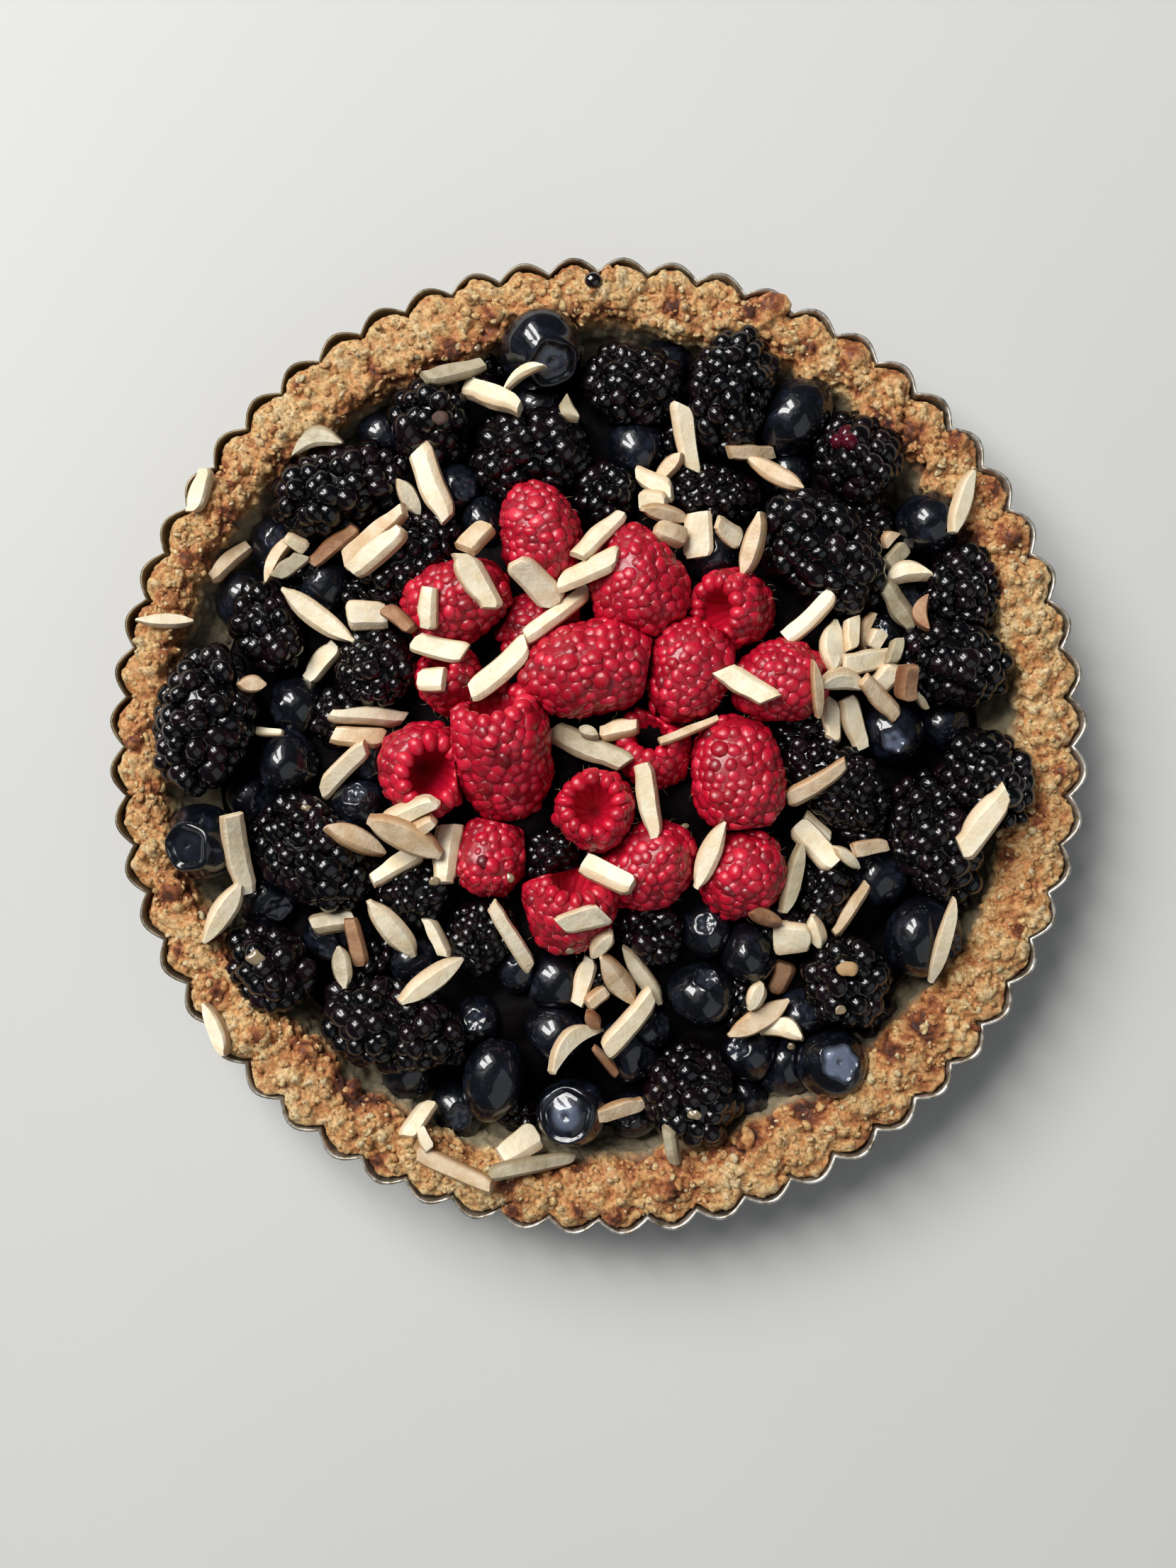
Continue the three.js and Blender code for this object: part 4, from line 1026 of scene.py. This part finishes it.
def make_filling(low_blueberries, low_brambles, planes):
    """The dark layer under the heap, lumpy with the shapes of berries, and the half-sunken berries."""
    columns, rows = 220, 60
    radii = np.linspace(0, FILLING_RADIUS, rows)
    heights = np.append(filling_height(radii), [10.5, 10.5])
    points, faces = turned(np.append(radii, [FILLING_RADIUS, 0]), heights, columns)
    top = np.arange(len(points)) < rows * columns
    lumps, number = grains(points, 11, 61)
    small, _ = grains(points, 4, 67)
    rise = 5.5 * domed(lumps, 0.85) * (0.5 + 0.5 * number) + 1.0 * (0.6 - small)
    points[:, 2] += np.where(top, rise - 0.5, 0)
    piece("filling_dark", [(points, faces[:, ::-1], 0.1)], MATERIALS["dark"], "dark_fruit", "filling")
    blue, black = [], []
    for k, berry in enumerate(low_blueberries):
        blue += blueberry_chunks(berry, planes[k], 700 + k, 0.1, detail=(36, 26), raised=0.4)
    for k, berry in enumerate(low_brambles):
        black += bramble_chunks(berry, planes[len(low_blueberries) + k], 800 + k, SUNKEN_DOME)
    piece("filling_blueberries", blue, MATERIALS["blueberry"], "dark_fruit", "filling")
    piece("filling_brambles", black, MATERIALS["bramble"], "dark_fruit", "filling")


def make_fruit(kind, number, chunks):
    name = f"{kind}_{number:02d}"
    piece(f"{name}_fruit", chunks, MATERIALS[kind], f"{kind}_skin", name)


def make_berries():
    draw = np.random.default_rng(5)
    low_blue = [sunken_row(*row, draw) for row in SUNKEN_BLUEBERRIES]
    low_black = [(*sunken_row(*row, draw), draw.uniform(3.5, 4.4)) for row in SUNKEN_BRAMBLES]
    whole = BRAMBLES + RASPBERRIES + BLUEBERRIES
    planes = press_planes([spheroid(berry) for berry in whole + low_blue + low_black])
    pressing = iter(planes)
    for k, berry in enumerate(BRAMBLES):
        make_fruit("bramble", k + 1, bramble_chunks(berry, next(pressing), 100 + k))
    hairs = []
    for k, berry in enumerate(RASPBERRIES):
        make_fruit("raspberry", k + 1, raspberry_chunks(berry, next(pressing), 300 + k))
        hairs.append(raspberry_hairs(berry, draw))
    piece("raspberry_hairs", hairs, MATERIALS["hair"], "raspberry_skin")
    for k, berry in enumerate(BLUEBERRIES):
        size, bloom = CROWNS.get(k, (None, 0.12))
        chunks = blueberry_chunks(berry, next(pressing), 500 + k, bloom, crown_size=size)
        make_fruit("blueberry", k + 1, chunks)
    make_filling(low_blue, low_black, planes[len(whole):])


# Almonds

# The height map: its step, half its width and its count of lines.
HEIGHT_STEP = 0.5
HEIGHT_HALF = 125
HEIGHT_COUNT = round(2 * HEIGHT_HALF / HEIGHT_STEP) + 1


def grid_place(values):
    """The numbers of the height map's lines nearest to places in millimetres."""
    return np.clip(np.round((values + HEIGHT_HALF) / HEIGHT_STEP).astype(int), 0, HEIGHT_COUNT - 1)


def height_map():
    """The height of the tart's surface over a square grid, found by rays from above."""
    depsgraph = bpy.context.evaluated_depsgraph_get()
    heights = np.zeros((HEIGHT_COUNT, HEIGHT_COUNT))
    down = Vector((0, 0, -1))
    for made in bpy.context.scene.objects:
        if made.type != "MESH" or made.hide_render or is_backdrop(made):
            continue
        tree = BVHTree.FromObject(made, depsgraph)
        box = np.array(made.bound_box)[:, :2] / MM
        low, high = grid_place(box.min(axis=0)), grid_place(box.max(axis=0))
        for i in range(low[0], high[0] + 1):
            for j in range(low[1], high[1] + 1):
                x, y = i * HEIGHT_STEP - HEIGHT_HALF, j * HEIGHT_STEP - HEIGHT_HALF
                hit = tree.ray_cast(Vector((x * MM, y * MM, 0.1)), down)
                if hit[0] is not None:
                    heights[i, j] = max(heights[i, j], hit[0].z / MM)
    return heights


def heights_at(heights, x, y):
    return heights[grid_place(x), grid_place(y)]


def settled_slope(at, height, steepest):
    """The slope of a sliver that has settled: between lying on its highest points and the ground's own."""
    best = (-1e9, 0.0)
    left, right = np.flatnonzero(at <= 0), np.flatnonzero(at > 0)
    for a in left:
        for b in right:
            slope = (height[b] - height[a]) / (at[b] - at[a])
            middle = height[a] - slope * at[a]
            if middle > best[0]:
                best = (middle, slope)
    return float(np.clip(0.5 * (best[1] + np.polyfit(at, height, 1)[0]), -steepest, steepest))


# A sliver's cross-section, and how blunt its two sides are in each shape.
SECTION = np.array([
    [1, -0.6], [1, 0.6], [0.86, 1], [-0.86, 1], [-1, 0.6], [-1, -0.6], [-0.86, -1], [0.86, -1],
])
SIDES = {
    "plank": (16, 12),
    "half_moon": (14, 2.1),
    "pointed": (2.6, 2.1),
    "chunk": (14, 9),
    "crescent": (2.4, 2.4),
}


def sliver_form(long, wide, thick, kind, draw):
    """One almond sliver along +X: its points, faces, and a tone that is high along its cut edges."""
    stations, around = 13, len(SECTION)
    t = np.sin(np.linspace(-1, 1, stations) * math.pi / 2)
    t = 0.45 * t + 0.55 * np.linspace(-1, 1, stations)
    blunt = 0.5 if kind in ("plank", "chunk") else 0.75
    left, right = (np.maximum(1 - np.abs(t) ** (power * draw.uniform(0.85, 1.2)), 0) ** blunt
                   for power in SIDES[kind])
    square = kind in ("plank", "half_moon", "chunk")
    end = draw.uniform(0.5, 0.95, 2) if square else draw.uniform(0.12, 0.3, 2)
    least = np.where(t < 0, end[0], end[1])
    taper = 1 + draw.uniform(-0.16, 0.16) * t
    left, right = np.maximum(left, least) * taper, np.maximum(right, least) * taper
    depth = np.where(np.abs(t) > 0.99, 0.8, 1 - 0.12 * t**2)
    bend = draw.uniform(0.14, 0.24) * long if kind == "crescent" else draw.uniform(-0.03, 0.03) * long
    sag = draw.uniform(-0.05, 0.06) * long
    slant = draw.uniform(-0.7, 0.7) if kind in ("plank", "half_moon") else draw.uniform(-0.2, 0.2)
    lean = draw.uniform(-0.25, 0.25)
    section = SECTION.copy()
    section[2:4, 0] *= draw.uniform(0.5, 1.0, 2)
    section[[1, 4], 1] *= draw.uniform(-0.2, 1.0, 2)
    y = np.where(section[:, 0] > 0, right[:, None], left[:, None]) * section[:, 0] * wide / 2
    z = depth[:, None] * section[:, 1] * thick / 2
    x = t[:, None] * long / 2 + slant * y
    y = y + bend * (0.5 - t**2)[:, None] + lean * z
    z = z + sag * (0.3 - t**2)[:, None]
    points = np.stack([x, y, z], axis=2).reshape(-1, 3)
    rough = [noise(points + draw.uniform(0, 99), 3.1, seed) for seed in (1, 2, 3)]
    points = points + 0.11 * np.stack(rough, axis=1)
    ends = np.array([points[:around].mean(axis=0), points[-around:].mean(axis=0)])
    ends[:, 0] += np.array([-0.2, 0.2])
    first, last = len(points), len(points) + 1
    k = np.arange(around)
    after = (k + 1) % around
    base = first - around
    caps = [[[first, after[n], n, first] for n in k], [[last, base + n, base + after[n], last] for n in k]]
    tone = np.append(np.tile(np.abs(SECTION[:, 0]) ** 3, stations), [0.8, 0.8])
    return np.vstack([points, ends]), np.vstack([grid_faces(stations, around), *caps]), tone


def lay_sliver(heights, row, draw):
    """Lays one sliver on what is under it, and raises the height map by it."""
    x, y, seen_long, wide, heading, _, *known = row
    heading = math.radians(heading)
    ahead = np.array([math.cos(heading), math.sin(heading)])
    aside = np.array([-ahead[1], ahead[0]])
    at = np.linspace(-0.46, 0.46, 13) * seen_long
    side = np.linspace(-0.36, 0.36, 5) * wide
    places = np.array([x, y]) + at[:, None, None] * ahead + side[None, :, None] * aside
    under = heights_at(heights, places[..., 0], places[..., 1])
    slope = settled_slope(at, under.max(axis=1), 0.5)
    rest = under - (slope * at)[:, None]
    roll = settled_slope(side, rest.max(axis=0), 0.4)
    rest = (rest - roll * side[None, :]).max(axis=1)
    height = max(np.percentile(rest, 80), rest.max() - 1.6)
    thick = min(ALMOND_THICKNESS * draw.uniform(0.75, 1.15), 0.8 * wide)
    long = seen_long * math.hypot(1, slope)
    kinds = ["plank", "half_moon", "half_moon", "pointed", "crescent"]
    kind = "chunk" if wide > 0.62 * seen_long else draw.choice(kinds, p=[0.3, 0.22, 0.16, 0.22, 0.1])
    points, faces, tone = sliver_form(long, wide, thick, known[0] if known else kind, draw)
    pitch, tilt = math.atan(slope), math.atan(roll)
    forward = np.array([*math.cos(pitch) * ahead, math.sin(pitch)])
    across = np.array([*math.cos(tilt) * aside, math.sin(tilt)])
    across = unit(across - across @ forward * forward)
    basis = np.stack([forward, across, np.cross(forward, across)], axis=1)
    centre = np.array([x, y, height + thick / 2 / math.cos(pitch) - ALMOND_SINK])
    points = points @ basis.T + centre
    sunk = max(0, points[:, 2].max() - ALMOND_CEILING)
    points[:, 2] -= sunk
    centre[2] -= sunk
    cover = np.linspace(-0.5, 0.5, 41)[:, None] * seen_long
    cross = np.linspace(-0.5, 0.5, 13)[None, :] * wide
    plan_x = x + cover * ahead[0] + cross * aside[0]
    plan_y = y + cover * ahead[1] + cross * aside[1]
    top = centre[2] + thick / 2 + slope * cover + roll * cross
    np.maximum.at(heights, (grid_place(plan_x), grid_place(plan_y)), top - 0.3)
    return points, faces, tone


def make_almonds():
    heights = height_map()
    draw = np.random.default_rng(29)
    by_tone = {tone: [] for tone in ALMOND_TONES}
    for row in ALMONDS:
        by_tone[row[5]].append(lay_sliver(heights, row, draw))
    for tone, chunks in by_tone.items():
        slivers = piece(f"almonds_{ALMOND_TONES[tone]}", chunks, MATERIALS[tone], None)
        slivers.data.set_sharp_from_angle(angle=math.radians(26))
    return heights


def make_bits(heights):
    """Drops of glaze and juice, bits of jelly and the cores of two brambles."""
    draw = np.random.default_rng(43)
    template, faces = ball(3)
    by_kind = {}
    for x, y, size, flat, kind in BITS:
        shape = template * size / 2 * np.array([1, draw.uniform(0.75, 1), flat])
        if kind != "juice":
            shape = shape + 0.12 * size * wobble(shape + 9 * x, size / 2.5, (1, 2, 3))
        lift = (0.02 if kind in ("core", "pit") else 0.1) * size
        place = np.array([x, y, heights_at(heights, x, y) + lift])
        by_kind.setdefault(kind, []).append((shape + place, faces, 0.5))
    for kind, chunks in by_kind.items():
        piece(f"bits_{kind}", chunks, MATERIALS[kind], None)


# The camera, the light and the floor

def make_stage():
    bpy.ops.mesh.primitive_plane_add(size=6, location=(0, 0, -0.0002))
    floor = bpy.context.object
    floor.name = "floor"
    ground = Shader("pale_floor", Roughness=0.75)
    shade = ground.mix(ground.noise(2.5), srgb(196, 196, 194), srgb(206, 206, 204))
    floor.data.materials.append(ground.set(Base_Color=shade))
    floor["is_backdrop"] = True


def make_light(name, place, size, power, colour, aim=(0, 0, 0.02)):
    light = bpy.data.lights.new(name, "AREA")
    light.shape = "RECTANGLE"
    light.size, light.size_y = size
    light.energy = power
    light.color = colour
    lamp = bpy.data.objects.new(name, light)
    lamp.location = place
    lamp.rotation_euler = (Vector(aim) - Vector(place)).to_track_quat("-Z", "Y").to_euler()
    bpy.context.scene.collection.objects.link(lamp)


def make_camera():
    camera = bpy.data.cameras.new("camera")
    camera.sensor_width = SENSOR
    camera.lens = SENSOR / 2 / math.tan(CAMERA_FIELD / 2)
    camera.clip_start = 0.01
    holder = bpy.data.objects.new("camera", camera)
    holder.location = (CAMERA_CENTRE[0] * MM, CAMERA_CENTRE[1] * MM, CAMERA_HEIGHT * MM)
    bpy.context.scene.collection.objects.link(holder)
    bpy.context.scene.camera = holder


def make_world():
    world = bpy.data.worlds.new("studio")
    world.use_nodes = True
    sky = world.node_tree.nodes["Background"].inputs
    sky["Color"].default_value = (0.86, 0.93, 1.0, 1)
    sky["Strength"].default_value = 0.06
    bpy.context.scene.world = world
    bpy.context.scene.view_settings.view_transform = "Standard"


make_camera()
make_world()
make_stage()
make_light("window_left", (-1.14, 0.68, 1.52), (0.44, 1.2), 27, (1.0, 0.985, 0.965))
make_light("window_right", (-0.68, 1.14, 1.52), (0.44, 1.2), 27, (1.0, 0.985, 0.965))
make_light("sky", (-0.7, 0.7, 1.3), (1.7, 1.7), 4, (0.93, 0.97, 1.0))
make_light("fill", (0.8, -0.9, 1.2), (1.8, 1.8), 5, (0.94, 0.97, 1.0))

make_tin()
crust_surface = make_crust()
make_crumbs(crust_surface)
make_berries()
make_bits(make_almonds())
